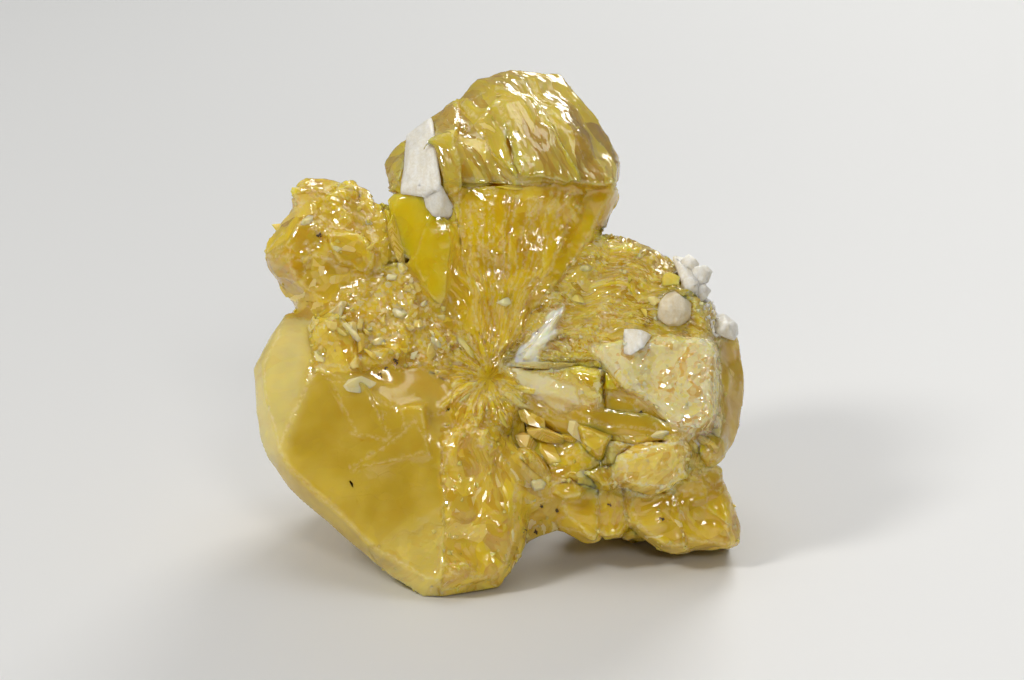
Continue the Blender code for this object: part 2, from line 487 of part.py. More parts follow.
def radial_blade(angle, near, far, width, height, depth_at):
    """A thin rib on the surface, along a line out of the hub, that widens as it goes out."""
    along = Vector((math.cos(angle), math.sin(angle)))
    across = Vector((-along.y, along.x))
    points = []
    for distance, share in ((near, 0.35), (0.5 * (near + far), 0.8), (far, 1.0)):
        middle = Vector(HUB) + along * distance
        depth = depth_at(middle.x, middle.y)
        if depth is None:
            return None
        for side in (-0.5, 0.5):
            foot = middle + across * side * width * share
            points.append((foot.x, foot.y, depth + 1.2))
        for side in (-0.36, 0.12):
            crest = middle + across * side * width * share
            points.append((crest.x, crest.y, depth - height * share))
    return convex_solid(points)


def crown_ribs(rng, depth_at):
    """The upright ribs below the ledge, which close in on the hub."""
    count, left, right, top = 11, -3.7, 9.4, 40.9
    ribs = []
    for i in range(count):
        top_u = left + (right - left) * (i + rng.uniform(-0.25, 0.25)) / (count - 1)
        reach = Vector((top_u, top)) - Vector(HUB)
        near, far = rng.uniform(1.0, 6.0), reach.length * rng.uniform(0.88, 0.995)
        width, height = rng.uniform(0.8, 1.7), rng.uniform(0.35, 1.0)
        ribs.append(radial_blade(math.atan2(reach.y, reach.x), near, far, width, height, depth_at))
    return [rib for rib in ribs if rib]


def fan_ribs(rng, depth_at):
    """The ribs that spread from the hub over the fan and down across the lower crystals."""
    spreads = (
        # first angle, last angle, ribs, nearest start, longest reach
        (22, 50, 8, 1.5, 12.0),
        (-52, -14, 6, 1.2, 9.0),
        (186, 262, 9, 1.0, 6.0),
        (112, 178, 9, 1.0, 7.0),
    )
    ribs = []
    for first, last, count, start, reach in spreads:
        for i in range(count):
            angle = math.radians(first + (last - first) * (i + rng.uniform(0.2, 0.8)) / count)
            near, far = start * rng.uniform(0.8, 1.8), reach * rng.uniform(0.55, 1.0)
            width, height = rng.uniform(0.5, 1.1), rng.uniform(0.25, 0.6)
            ribs.append(radial_blade(angle, near, far, width, height, depth_at))
    return [rib for rib in ribs if rib]


def rubble(rng, depth_at):
    """Small crystals grown over the joints between the large ones, long in the direction of the hub."""
    patches = (
        # centre u and v, half widths in u and v, number, smallest and largest size
        ((-9.6, 28.4), (4.4, 2.6), 26, 0.6, 1.3),
        ((-5.2, 25.6), (3.4, 2.4), 14, 0.45, 1.0),
        ((-11.0, 31.6), (3.0, 1.4), 7, 0.6, 1.0),
        ((1.6, 17.4), (3.0, 3.0), 8, 0.5, 1.0),
        ((7.0, 15.4), (2.6, 1.6), 5, 0.6, 1.0),
        ((-16.2, 38.6), (3.4, 2.0), 7, 0.55, 1.0),
        ((21.0, 13.0), (2.4, 1.4), 4, 0.6, 1.0),
        ((9.0, 29.4), (3.4, 3.0), 6, 0.4, 0.8),
    )
    crystals = []
    for (u0, v0), (half_u, half_v), count, smallest, largest in patches:
        for _ in range(count):
            u = u0 + half_u * rng.uniform(-1, 1)
            v = v0 + half_v * rng.uniform(-1, 1)
            size = rng.uniform(smallest, largest)
            outward = math.degrees(math.atan2(v - HUB[1], u - HUB[0]))
            turn = (rng.uniform(-35, 35), rng.uniform(-35, 35), outward + rng.uniform(-25, 25))
            squash = (rng.uniform(1.0, 1.7), rng.uniform(0.7, 1.0), rng.uniform(0.8, 1.1))
            depth = depth_at(u, v)
            if depth is not None:
                centre = (u, v, depth + 0.35 * size)
                crystals.append(grown_crystal(centre, size, turn, rng, squash, 0.3, True))
    return crystals


def white_pieces(rng):
    """The white calcite on the cluster: for each piece by name, the solids that it is made of."""
    band = [
        (-5.97, 47.8, 11.4), (-8.1, 46.2, 11.4), (-7.9, 44.0, 8.2), (-7.8, 41.2, 6.6), (-8.7, 40.6, 7.2),
        (-6.5, 40.3, 6.0), (-5.1, 41.0, 5.2), (-5.5, 43.6, 6.2), (-5.8, 46.5, 8.6), (-6.8, 45.8, 8.4),
        (-6.9, 45.0, 13), (-7.0, 41.4, 10),
    ]
    band_tail = [
        (-6.6, 40.9, 6.2), (-5.1, 41.2, 5.3), (-6.2, 39.2, 6.4), (-5.4, 38.2, 6.8), (-3.9, 39.1, 6.8),
        (-3.6, 38.0, 7.8), (-4.8, 39.4, 5.9), (-5.0, 39.6, 11),
    ]
    crust_upper = [
        (18.5, 34.0, 10.2), (19.8, 33.7, 10.6), (21.0, 32.7, 10.6), (21.4, 31.2, 10.4), (21.4, 29.6, 10.2),
        (20.6, 29.2, 8.4), (19.7, 30.6, 7.4), (19.3, 32.0, 7.8), (20.4, 31.2, 7.0), (19.2, 33.0, 8.6),
        (20.4, 32.4, 13), (20.8, 30.2, 13),
    ]
    crust_side = [
        (22.4, 27.9, 10.4), (23.3, 28.2, 10.6), (24.5, 27.3, 10.6), (24.6, 26.5, 10.4), (24.3, 26.0, 9.8),
        (22.8, 26.6, 8.5), (23.6, 27.2, 8.0), (23.4, 27.2, 13), (22.5, 27.0, 9.4),
    ]
    patch = [
        (13.6, 26.7, 6.3), (15.0, 26.6, 5.9), (15.9, 26.2, 5.8), (15.2, 25.2, 4.5), (14.1, 24.5, 4.7),
        (13.6, 24.6, 5.2), (13.7, 25.6, 5.6), (14.8, 25.9, 5.0), (14.6, 25.8, 9),
    ]
    nubs = [
        # centre, size of the small crystals on the upper crust
        ((19.9, 33.3, 9.4), 0.62), ((20.9, 32.3, 8.9), 0.7),
        ((21.0, 30.6, 8.5), 0.62), ((20.0, 31.2, 7.5), 0.6),
    ]
    crust_nubs = [
        grown_crystal(c, size, [rng.uniform(0, 90) for _ in range(3)], rng, spread=0.2, simple=True)
        for c, size in nubs
    ]
    grain = grown_crystal((18.35, 28.9, 6.7), 1.32, (20, 30, 10), rng, (1.05, 1.0, 1.0), 0.06)
    return {
        "white_band": [convex_solid(band), convex_solid(band_tail)],
        "calcite_crust_upper": [convex_solid(crust_upper), *crust_nubs],
        "calcite_crust_side": [convex_solid(crust_side)],
        "calcite_grain": [grain],
        "calcite_patch": [convex_solid(patch)],
    }


def pocket_for(solid):
    """The cutter for one white solid's pocket: the solid, grown by the clearance on every side."""
    bm = bmesh.new()
    bm.from_mesh(solid.data)
    steps = (-POCKET_GAP * MM, POCKET_GAP * MM)
    for vert in list(bm.verts):
        for step in ((a, b, c) for a in steps for b in steps for c in steps):
            bm.verts.new(vert.co + Vector(step))
    bmesh.ops.convex_hull(bm, input=bm.verts)
    bmesh.ops.delete(bm, geom=[v for v in bm.verts if not v.link_faces], context="VERTS")
    bmesh.ops.dissolve_limit(bm, angle_limit=math.radians(0.6), verts=bm.verts, edges=bm.edges)
    bmesh.ops.recalc_face_normals(bm, faces=bm.faces)
    return new_object("pocket", bm)


def stand_up(objects):
    """Turns the face frame upright, leaned back, with the lowest point a little below z = 0."""
    upright = Matrix(((1, 0, 0, 0), (0, 0, 1, 0), (0, 1, 0, 0), (0, 0, 0, 1)))
    lean = Matrix.Rotation(math.radians(-LEAN_BACK), 4, "X")
    raise_up = Matrix.Translation((0, 0, -FLOOR_LEVEL * MM))
    for obj in objects:
        obj.data.transform(raise_up @ lean @ upright)
        obj.data.flip_normals()


def trim_feet(obj):
    """Cuts the cluster off flat at z = 0, where it stands."""
    bm = bmesh.new()
    bmesh.ops.create_cube(bm, size=FLOOR_REACH * MM)
    bmesh.ops.translate(bm, verts=bm.verts, vec=(0, 0, -FLOOR_REACH * MM / 2))
    boolean(obj, [new_object("floor", bm)], "DIFFERENCE")


def centre_on_origin(objects, main):
    """Moves everything so that the origin is under the middle of the box round it, at the floor."""
    corners = [v.co for obj in objects for v in obj.data.vertices]
    low = [min(c[i] for c in corners) for i in range(3)]
    high = [max(c[i] for c in corners) for i in range(3)]
    base = min(v.co.z for v in main.data.vertices)
    shift = Matrix.Translation((-(low[0] + high[0]) / 2, -(low[1] + high[1]) / 2, -base))
    for obj in objects:
        obj.data.transform(shift)


def paint(obj, name, colour, roughness, transmission=0.0):
    material = bpy.data.materials.get(name) or bpy.data.materials.new(name)
    material.use_nodes = True
    shader = material.node_tree.nodes["Principled BSDF"]
    shader.inputs["Base Color"].default_value = (*colour, 1)
    shader.inputs["Roughness"].default_value = roughness
    shader.inputs["Metallic"].default_value = 0.0
    shader.inputs["Transmission Weight"].default_value = transmission
    obj.data.materials.clear()
    obj.data.materials.append(material)


def main():
    for obj in list(bpy.data.objects):
        bpy.data.objects.remove(obj)
    rng = random.Random(SEED)
    large = (
        crown_crystals() + wedge_crystal() + knob_crystals() + joint_crystals() + lower_left_crystals()
        + fan_crystals() + lower_row_crystals()
    )
    depth_at = surface_finder(large)
    small = crown_ribs(rng, depth_at) + fan_ribs(rng, depth_at) + rubble(rng, depth_at)
    crystals = large + small + back_crystals(rng) + rear_feet()
    cluster = crystals[0]
    cluster.name = "sphalerite_cluster"
    boolean(cluster, crystals[1:], "UNION")

    pieces = white_pieces(rng)
    boolean(cluster, [pocket_for(solid) for solids in pieces.values() for solid in solids], "DIFFERENCE")
    keep_largest_body(cluster)
    white = []
    for name, solids in pieces.items():
        if len(solids) > 1:
            boolean(solids[0], solids[1:], "UNION")
        solids[0].name = name
        white.append(solids[0])

    everything = [cluster, *white]
    stand_up(everything)
    trim_feet(cluster)
    keep_largest_body(cluster)
    centre_on_origin(everything, cluster)
    paint(cluster, "yellow sphalerite", (0.72, 0.50, 0.07), 0.15, transmission=0.85)
    for obj in white:
        paint(obj, "white calcite", (0.86, 0.85, 0.78), 0.45)


main()
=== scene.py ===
import json
import math
import random

import bmesh
import bpy
import numpy as np
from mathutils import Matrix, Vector, noise
from mathutils.bvhtree import BVHTree

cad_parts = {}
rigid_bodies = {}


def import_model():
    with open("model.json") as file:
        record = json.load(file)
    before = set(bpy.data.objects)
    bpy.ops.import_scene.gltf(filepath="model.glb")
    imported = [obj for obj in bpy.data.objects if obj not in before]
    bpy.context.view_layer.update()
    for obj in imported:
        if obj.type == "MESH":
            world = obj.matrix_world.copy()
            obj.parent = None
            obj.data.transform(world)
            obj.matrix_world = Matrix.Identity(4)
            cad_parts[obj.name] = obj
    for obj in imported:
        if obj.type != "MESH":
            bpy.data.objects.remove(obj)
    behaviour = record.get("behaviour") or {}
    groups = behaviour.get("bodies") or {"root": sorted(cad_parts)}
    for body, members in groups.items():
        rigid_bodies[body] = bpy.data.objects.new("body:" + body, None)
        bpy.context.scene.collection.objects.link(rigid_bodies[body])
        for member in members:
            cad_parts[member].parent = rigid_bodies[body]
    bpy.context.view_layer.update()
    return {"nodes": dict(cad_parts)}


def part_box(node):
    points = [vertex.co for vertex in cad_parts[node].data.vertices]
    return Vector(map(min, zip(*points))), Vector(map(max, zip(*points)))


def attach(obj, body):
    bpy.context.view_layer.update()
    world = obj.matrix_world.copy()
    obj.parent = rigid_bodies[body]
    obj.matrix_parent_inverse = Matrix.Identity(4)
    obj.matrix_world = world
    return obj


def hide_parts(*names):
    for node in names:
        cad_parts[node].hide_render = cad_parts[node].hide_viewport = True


noise.seed_set(7)  # else noise_vector differs in each run
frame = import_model()
mm = 0.001

# The broken face leans back. On it u runs to the right, v up and d into the stone, in millimetres.
face = {
    "leanBack": math.radians(18.0),
    "fromBand": Vector((3.595, -26.373, -42.187)),  # from the white band's upper corner to u = v = d = 0
    "middle": (2.2, 25.8, 8.0),
    "spread": 0.0035,  # the cluster widens this much for each millimetre into the stone
    "hub": (-0.3, 22.1),  # where the crystals radiate from
}
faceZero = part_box("white_band")[1] / mm + face["fromBand"]
upAxis = Vector((0, math.sin(face["leanBack"]), math.cos(face["leanBack"])))
intoAxis = Vector((0, math.cos(face["leanBack"]), -math.sin(face["leanBack"])))


def toFace(co):  # places in metres, as rows, to u, v and d
    rel = np.asarray(co) / mm - np.array(faceZero)
    middle = face["middle"]
    d = rel @ np.array(intoAxis)
    widen = 1 + face["spread"] * (d - middle[2])
    u = middle[0] + (rel[:, 0] - middle[0]) / widen
    v = middle[1] + (rel @ np.array(upAxis) - middle[1]) / widen
    return u, v, d


def fromFace(u, v, d):  # one place on the face to metres
    middle = face["middle"]
    widen = 1 + face["spread"] * (d - middle[2])
    across = middle[0] + (u - middle[0]) * widen
    up = middle[1] + (v - middle[1]) * widen
    return (faceZero + Vector((across, 0, 0)) + up * upAxis + d * intoAxis) * mm


hubPlace = fromFace(*face["hub"], face["middle"][2])


def smooth(low, high, x):
    t = np.clip((np.asarray(x) - low) / (high - low), 0, 1)
    return t * t * (3 - 2 * t)


def inside(outline, u, v, soft):  # 1 inside the outline, 0 outside, over a soft edge
    pts = np.array(outline, float)
    nearest = np.full(len(u), 1e9)
    within = np.zeros(len(u), bool)
    for (ax, ay), (bx, by) in zip(pts, np.roll(pts, -1, axis=0)):
        t = np.clip(((u - ax) * (bx - ax) + (v - ay) * (by - ay)) / ((bx - ax) ** 2 + (by - ay) ** 2), 0, 1)
        nearest = np.minimum(nearest, np.hypot(u - ax - t * (bx - ax), v - ay - t * (by - ay)))
        crosses = (ay > v) != (by > v)
        at = ax + (v - ay) / (by - ay if by != ay else 1e-9) * (bx - ax)
        within ^= crosses & (u < at)
    return smooth(-soft, soft, np.where(within, nearest, -nearest))


# The zones of the face. What a zone leaves out is as here: how soft its own edge is, how milky it is
# (0 clear, 1 milky), how strongly it breaks into chips and how long they are, the share of chips that are
# pale, as frosted flakes and painted glints, how far crystal edges melt round, wander from straight and
# turn pale, as wear and a painted edge highlight, and how many shards, sugar crystals and needles grow on a
# square millimetre of it. The grain is plain, level like the steps of the fan, radial from the hub, or
# curved round the cap. Later zones lie over earlier ones.
plainZone = {
    "soft": 0.5, "milk": 0.8, "chips": 0.3, "size": 1.5, "flakesAndGlints": 0.02, "melt": 0.3, "grain": "plain",
    "wander": 1.0, "rim": 0.5, "shards": 0.0, "sugar": 0.0, "needles": 0.0, "whiteSugar": 0.0,
}
zones = [
    {"name": "back", "outline": [(-60, -60), (60, -60), (60, 120), (-60, 120)],
     "colour": (0.80, 0.53, 0.03), "milk": 0.78, "chips": 0.14, "size": 3.0, "melt": 0.1, "wander": 0.3},
    {"name": "lower row", "outline": [(4, 16), (24, 16), (26, 9), (26, 2), (4, 2), (3.4, 8)],
     "colour": (0.84, 0.56, 0.02), "milk": 0.84, "chips": 0.7, "flakesAndGlints": 0.05, "melt": 0.3,
     "grain": "radial", "rim": 0.5, "sugar": 0.1},
    {"name": "lower left", "outline": [(-26, 24), (-20, 31), (-17, 29), (-17, 23), (-4.8, 20), (-4.8, -2),
                                       (-9, -2), (-26, 12)],
     "colour": (0.69, 0.48, 0.04), "milk": 0.87, "chips": 0.14, "size": 3.0, "flakesAndGlints": 0.0, "melt": 0.5,
     "wander": 0.4, "rim": 0.3},
    {"name": "left strip", "outline": [(-27, 24), (-20, 31), (-17.6, 29), (-18.4, 21), (-21.6, 13),
                                       (-26, 12)],
     "soft": 1.2, "colour": (0.80, 0.67, 0.24), "milk": 0.93, "chips": 0.2, "size": 3.4, "flakesAndGlints": 0.0,
     "melt": 0.4, "wander": 0.5},
    {"name": "lower tip", "outline": [(-12, 5), (-6, 7.5), (1, 5), (2, -2), (-9, -2)],
     "soft": 2.0, "colour": (0.80, 0.63, 0.14), "milk": 0.95, "chips": 0.35, "size": 1.2, "flakesAndGlints": 0.02,
     "melt": 0.4, "sugar": 0.15},
    {"name": "rough column", "outline": [(-4.8, 17), (-4.8, -2), (2, -2), (6, 8), (3.4, 14), (0.4, 18)],
     "colour": (0.85, 0.60, 0.06), "milk": 0.95, "chips": 0.8, "size": 1.2, "flakesAndGlints": 0.05, "melt": 0.4,
     "grain": "radial", "sugar": 0.4},
    {"name": "rubble", "outline": [(-18, 29.8), (-12, 33.5), (-8.6, 33.2), (-4.6, 28.6), (-1.6, 27),
                                   (-2, 23), (-8, 23), (-17.6, 22.6)],
     "colour": (0.79, 0.53, 0.03), "milk": 0.93, "chips": 1.1, "size": 1.5, "flakesAndGlints": 0.10, "melt": 0.3,
     "shards": 0.22, "sugar": 0.4},
    {"name": "knob", "outline": [(-24, 34), (-21, 43.5), (-10.6, 42.5), (-9.2, 36), (-11, 31.5),
                                 (-15.5, 28), (-21, 28)],
     "colour": (0.75, 0.52, 0.03), "milk": 0.88, "chips": 0.9, "size": 2.0, "flakesAndGlints": 0.03, "melt": 0.35,
     "shards": 0.02, "sugar": 0.1, "wander": 1.4},
    {"name": "cap", "outline": [(-12, 40.4), (-12, 47), (-3, 52), (2, 55), (9, 55), (15, 46), (14, 41.2),
                                (4, 41.0), (-4.6, 41.6), (-8, 39.4)], "soft": 0.35,
     "colour": (0.88, 0.67, 0.09), "milk": 0.62, "chips": 0.8, "size": 2.2, "flakesAndGlints": 0.03, "melt": 0.2,
     "grain": "curved", "sugar": 0.03, "wander": 0.8},
    {"name": "crown body", "outline": [(-4.6, 41.4), (14, 40.9), (11, 36.3), (2.6, 26), (0.4, 23.4),
                                       (-2.6, 24), (-4.2, 32)], "soft": 0.4,
     "colour": (0.90, 0.61, 0.006), "milk": 0.82, "chips": 0.6, "flakesAndGlints": 0.0, "melt": 0.6,
     "grain": "radial"},
    {"name": "crown edge", "outline": [(9.4, 41.2), (13.6, 41.2), (11, 36.3), (7, 32.4), (5.4, 32.8),
                                       (8.6, 36.6)], "soft": 0.4,
     "colour": (0.93, 0.62, 0.004), "milk": 0.75, "chips": 0.1},
    {"name": "wedge", "outline": [(-10.6, 39.3), (-9.2, 40.9), (-5.4, 40.5), (-3.6, 37), (-4.2, 29.2),
                                  (-5.4, 28.4), (-8.2, 33.4)], "soft": 0.3,
     "colour": (0.94, 0.67, 0.004), "milk": 0.8, "chips": 0.2, "size": 2.2, "flakesAndGlints": 0.0, "melt": 0.1,
     "wander": 0.4, "rim": 0.15},
    {"name": "hub", "outline": [(-4, 25), (-1, 27), (2.4, 25.6), (4, 21), (2.6, 17), (-3.6, 17.4)],
     "soft": 1.2, "colour": (0.86, 0.58, 0.015), "milk": 0.9, "chips": 1.0, "flakesAndGlints": 0.0, "melt": 0.5,
     "grain": "radial", "needles": 0.07, "sugar": 0.1},
    {"name": "fan", "outline": [(0.8, 23.6), (11.2, 38), (15, 38), (24, 33), (27, 27), (22.6, 26.0),
                                (11, 25.2), (10, 23.3)], "soft": 0.4,
     "colour": (0.84, 0.62, 0.08), "milk": 0.95, "chips": 1.6, "flakesAndGlints": 0.16, "melt": 0.2,
     "grain": "level", "shards": 0.02, "sugar": 0.2},
    {"name": "crusted edge", "outline": [(18.6, 33), (20.8, 35), (25.8, 28.6), (24.2, 25.8), (22, 26.6),
                                         (21, 29.4)],
     "soft": 0.5, "colour": (0.86, 0.74, 0.38), "milk": 0.95, "chips": 0.8, "flakesAndGlints": 0.2, "melt": 0.3,
     "sugar": 0.4, "whiteSugar": 3.0},
    {"name": "side", "outline": [(22.9, 25.6), (27, 27), (27, 15), (23.4, 13.6), (22.6, 16.4)], "soft": 0.3,
     "colour": (0.84, 0.54, 0.015), "milk": 0.72, "chips": 0.3, "size": 2.5},
    {"name": "pale block", "outline": [(9.8, 25.3), (16, 26.2), (22, 26.6), (23.0, 25), (22.8, 16.8),
                                       (20, 15.8), (15.6, 19.2), (13, 21.3)], "soft": 0.4,
     "colour": (0.93, 0.82, 0.48), "milk": 1.0, "chips": 1.0, "size": 1.2, "flakesAndGlints": 0.12, "melt": 0.6,
     "rim": 1.2, "sugar": 0.4},
    {"name": "bright blade", "outline": [(0.6, 23.3), (11.4, 23), (11.2, 19), (8, 18.6), (4.6, 20.0)],
     "soft": 0.25, "colour": (0.87, 0.68, 0.18), "milk": 0.96, "chips": 1.0, "size": 1.0, "flakesAndGlints": 0.2,
     "melt": 0.5, "rim": 1.0, "sugar": 0.2},
    {"name": "blade face", "outline": [(1.6, 23.7), (4.5, 22.6), (8.6, 20.8), (9.2, 19.0), (7.2, 18.4),
                                       (3.8, 20.4)],
     "soft": 0.15, "colour": (0.92, 0.80, 0.50), "milk": 1.0, "chips": 0.3, "flakesAndGlints": 0.0, "melt": 0.4},
    {"name": "blade glow", "outline": [(7.4, 22.9), (11.4, 23.2), (13.4, 21.2), (11.6, 20.6), (8.8, 21.4)],
     "soft": 0.4, "colour": (0.96, 0.71, 0.01), "milk": 0.9, "chips": 1.2, "flakesAndGlints": 0.1},
    {"name": "sliver", "outline": [(1.6, 23.2), (4.4, 23.3), (6.6, 26.6), (7.6, 29.8), (5.4, 27.8)],
     "soft": 0.15, "colour": (0.97, 0.91, 0.74), "milk": 1.0, "chips": 0.04, "flakesAndGlints": 0.0, "melt": 0.05,
     "wander": 0.0, "rim": 0.2},
    {"name": "wide block", "outline": [(12, 10.6), (12, 16.1), (20.8, 16.1), (20.8, 14), (18.4, 10.3)],
     "soft": 0.3, "colour": (0.86, 0.66, 0.17), "milk": 0.98, "chips": 0.8, "size": 1.2, "flakesAndGlints": 0.08,
     "melt": 0.5, "rim": 1.3, "sugar": 0.2},
]
mixedKeys = ("milk", "chips", "flakesAndGlints", "melt", "wander", "rim", "shards", "sugar", "needles", "whiteSugar")
grainShape = {
    "radialTurn": 8.0,  # chips in one radian round the hub
    "radialLength": 2.6,
    "radialDeep": 0.3,  # chips in one millimetre into the stone
    "level": (1.6, 0.46),  # length and height of the chips on the steps of the fan
    "levelSlope": 0.12,  # how steeply the steps of the fan fall to the right
    "levelDeep": 0.6,
    "capCentre": (-9.0, 39.0),
    "capTurn": 1.5,
    "capWidth": 1.2,
    "capDeep": 0.25,
    "skew": (0.6, 0.5),  # how far the chips shift for each chip into the stone
}


def grainPlace(kind, size, u, v, d, bend):  # places in units of one chip
    hubU, hubV = face["hub"]
    if kind == "radial":
        reach = np.hypot(u - hubU, v - hubV)
        turn = np.arctan2(v - hubV, u - hubU) * grainShape["radialTurn"]
        return turn + 1.5 * bend, reach / grainShape["radialLength"] + bend, d * grainShape["radialDeep"]
    if kind == "level":
        length, height = grainShape["level"]
        up = v + grainShape["levelSlope"] * u + 1.2 * bend
        return (u + 1.5 * bend) / length, up / height, d * grainShape["levelDeep"]
    if kind == "curved":
        capU, capV = u - grainShape["capCentre"][0], v - grainShape["capCentre"][1]
        turn = np.arctan2(capV, capU) * grainShape["capTurn"]
        reach = np.hypot(capU, capV) + bend
        return turn + 0.4 * bend, reach / grainShape["capWidth"], d * grainShape["capDeep"]
    return (u + bend) / size, v / size, d / size


zoneEdge = {
    "waver": 0.35,  # how far the edges of the zones waver, in millimetres
    "deep": (12.5, 16.5),  # from the first depth to the second, the zones give way to the back
}


def zoneValues(u, v, d):  # for each point: every zone's values mixed, its colour, its grain and its flow
    mixed = {key: np.zeros(len(u)) for key in mixedKeys}
    colour, grain, level = np.zeros((len(u), 3)), np.zeros((len(u), 3)), np.zeros(len(u))
    waver = np.array([noise.noise(Vector((a * 0.9, b * 0.9, c * 0.4))) for a, b, c in zip(u, v, d)])
    waver = waver * zoneEdge["waver"]
    bend = np.array([noise.noise(Vector((a * 0.3, b * 0.3, c * 0.3 + 7.0))) for a, b, c in zip(u, v, d)])
    for zone in zones:
        zone = {**plainZone, **zone}
        w = inside(zone["outline"], u + waver, v - waver, zone["soft"])
        if zone["name"] != "back":
            w = w * (1 - smooth(*zoneEdge["deep"], d))
        colour = colour * (1 - w[:, None]) + np.array(zone["colour"]) * w[:, None]
        for key in mixed:
            mixed[key] = mixed[key] * (1 - w) + zone[key] * w
        here = w > 0.5
        x, y, z = grainPlace(zone["grain"], zone["size"], u[here], v[here], d[here], bend[here])
        skewX, skewY = grainShape["skew"]
        grain[here] = np.column_stack([x + skewX * z, y + skewY * z, 0 * z])
        level[here] = zone["grain"] == "level"
    # shards lie away from the hub, and along the steps of the fan
    flowU = np.where(level > 0, 1.0, u - face["hub"][0])
    flowV = np.where(level > 0, -grainShape["levelSlope"], v - face["hub"][1])
    flow = np.outer(flowU, (1, 0, 0)) + np.outer(flowV, upAxis)
    flow /= np.maximum(np.linalg.norm(flow, axis=1), 1e-6)[:, None]
    return mixed, colour, grain, flow


crystal = {
    "gapWidth": 2.3,  # gaps between crystals up to twice this wide are nearly filled, in millimetres
    "gapFill": 0.94,  # the share of its depth that a gap is filled
    "gapDeep": (0.15, 0.5),  # gaps shallower than the first stay, and deeper than the second fill
    "gapBehind": (0.6, 1.2),  # what lies this far behind the bottom of a gap stays
    "gapFacing": (-0.5, -0.1),  # and so does what faces away
    "gridStep": 0.3,
    "noFace": 99.0,  # the depth where the grid meets no crystal
    "shortEdge": 0.12,  # shorter edges are closed up
    "frontEdge": 0.55,  # longest edge of the dense mesh on the face, in millimetres
    "backEdge": 1.4,
    "stretch": 2.5,  # how much longer the edges in the filled gaps may be
    "meltRounds": 10,
    "chipUp": 0.42,  # height of the largest chips
    "chipGroup": 0.62,  # the chips in the mesh are larger than those of the material
    "edgeNick": 0.16,
    "sharp": math.radians(26.0),  # edges sharper than this stay sharp
    "feet": (0.2, 1.2),  # nothing moves below the first height, and all does above the second
    "wander": ((0.22, 0.55), (0.8, 0.22)),  # how many times in a millimetre the edges wander, and how far
    "hollowReach": 5.0,  # how far another crystal shades a hollow
}
# Plates that lie nearly flush with the face behind them: that face's depth at the hub and its slopes in u
# and v, and the share of their height that they sink.
plates = [
    {"outline": [(-17.5, 23), (-5, 20), (-5, 13), (-16, 11)], "face": (1.9, -0.17, -0.02), "sink": 0.8},
    {"outline": [(0.5, 24), (11.8, 24), (12, 18.4), (4, 18.4)], "face": (7.6, -0.12, -0.02), "sink": 0.4},
    {"outline": [(9, 27.5), (24, 27.5), (24, 15.5), (13, 19)], "face": (7.6, -0.12, -0.02), "sink": 0.75},
    {"outline": [(-11, 41), (-3.4, 41), (-3.4, 28), (-6, 27)], "face": (7.7, 0.0, -0.06), "sink": 0.9},
]


def splitLongEdges(bm, shortest, longest):
    for _ in range(9):
        long = [e for e in bm.edges if e.calc_length() > shortest and e.calc_length() > longest(e)]
        if not long:
            break
        bmesh.ops.subdivide_edges(bm, edges=long, cuts=1)
        bmesh.ops.triangulate(bm, faces=[f for f in bm.faces if len(f.verts) > 3])


def melted(points, edges, amount, rounds):  # edges worn round, by moving each point towards its neighbours
    points = points.copy()
    count = np.bincount(edges.ravel(), minlength=len(points))[:, None]
    for _ in range(rounds):
        total = np.zeros_like(points)
        np.add.at(total, edges[:, 0], points[edges[:, 1]])
        np.add.at(total, edges[:, 1], points[edges[:, 0]])
        points += (total / count - points) * (0.6 * amount[:, None])
    return points


def chipHeight(p):  # each cell has a plane of its own, so that the surface breaks into flat chips
    centre = noise.voronoi(p)[1][0]
    tilt = noise.cell_vector(centre * 7.31) - Vector((0.5, 0.5, 0.5))
    return (p - centre).dot(tilt) + 0.35 * tilt.x


def hollows(tree, points, normals):  # how far each point is shut in by the crystals round it, from 0 to 1
    reach = crystal["hollowReach"] * mm
    # straight out, and round it on two cones
    turns = [(0.0, 0.0)] + [(0.55, a) for a in (0.3, 2.4, 4.5)]
    turns += [(1.05, a) for a in (0.0, 1.3, 2.5, 3.8, 5.0)]
    shut = np.zeros(len(points))
    for i, (co, normal) in enumerate(zip(points, normals)):
        side = normal.orthogonal().normalized()
        other = normal.cross(side)
        for tip, turn in turns:
            ray = normal * math.cos(tip) + (side * math.cos(turn) + other * math.sin(turn)) * math.sin(tip)
            far = tree.ray_cast(co + normal * 0.3 * mm, ray, reach)[3]
            if far is not None:
                shut[i] += (1 - 0.6 * far / reach) * math.cos(tip)
    return shut / sum(math.cos(tip) for tip, _ in turns)


def spread(grid, reach, pick):  # each cell takes the least or the greatest value within reach
    out = grid.copy()
    cells = range(-int(reach), int(reach) + 1)
    for i, j in [(i, j) for i in cells for j in cells if 0 < i * i + j * j <= reach * reach]:
        out = pick(out, np.roll(grid, (i, j), axis=(0, 1)))
    return out


def gridValue(grid, u, v):  # between the four cells round each place
    i, j = (u - frontGrid["u"][0]) / crystal["gridStep"], (v - frontGrid["v"][0]) / crystal["gridStep"]
    a, b = np.clip(i.astype(int), 0, grid.shape[0] - 2), np.clip(j.astype(int), 0, grid.shape[1] - 2)
    i, j = np.clip(i - a, 0, 1), np.clip(j - b, 0, 1)
    low = grid[a, b] * (1 - i) + grid[a + 1, b] * i
    high = grid[a, b + 1] * (1 - i) + grid[a + 1, b + 1] * i
    return low * (1 - j) + high * j


frontGrid = {"u": (-28.0, 28.0), "v": (-6.0, 60.0)}


def meetFace(tree, u, v):  # where a line straight into the face first meets the crystal
    near = fromFace(u, v, -15)
    return tree.ray_cast(near, fromFace(u, v, 45) - near)[0]


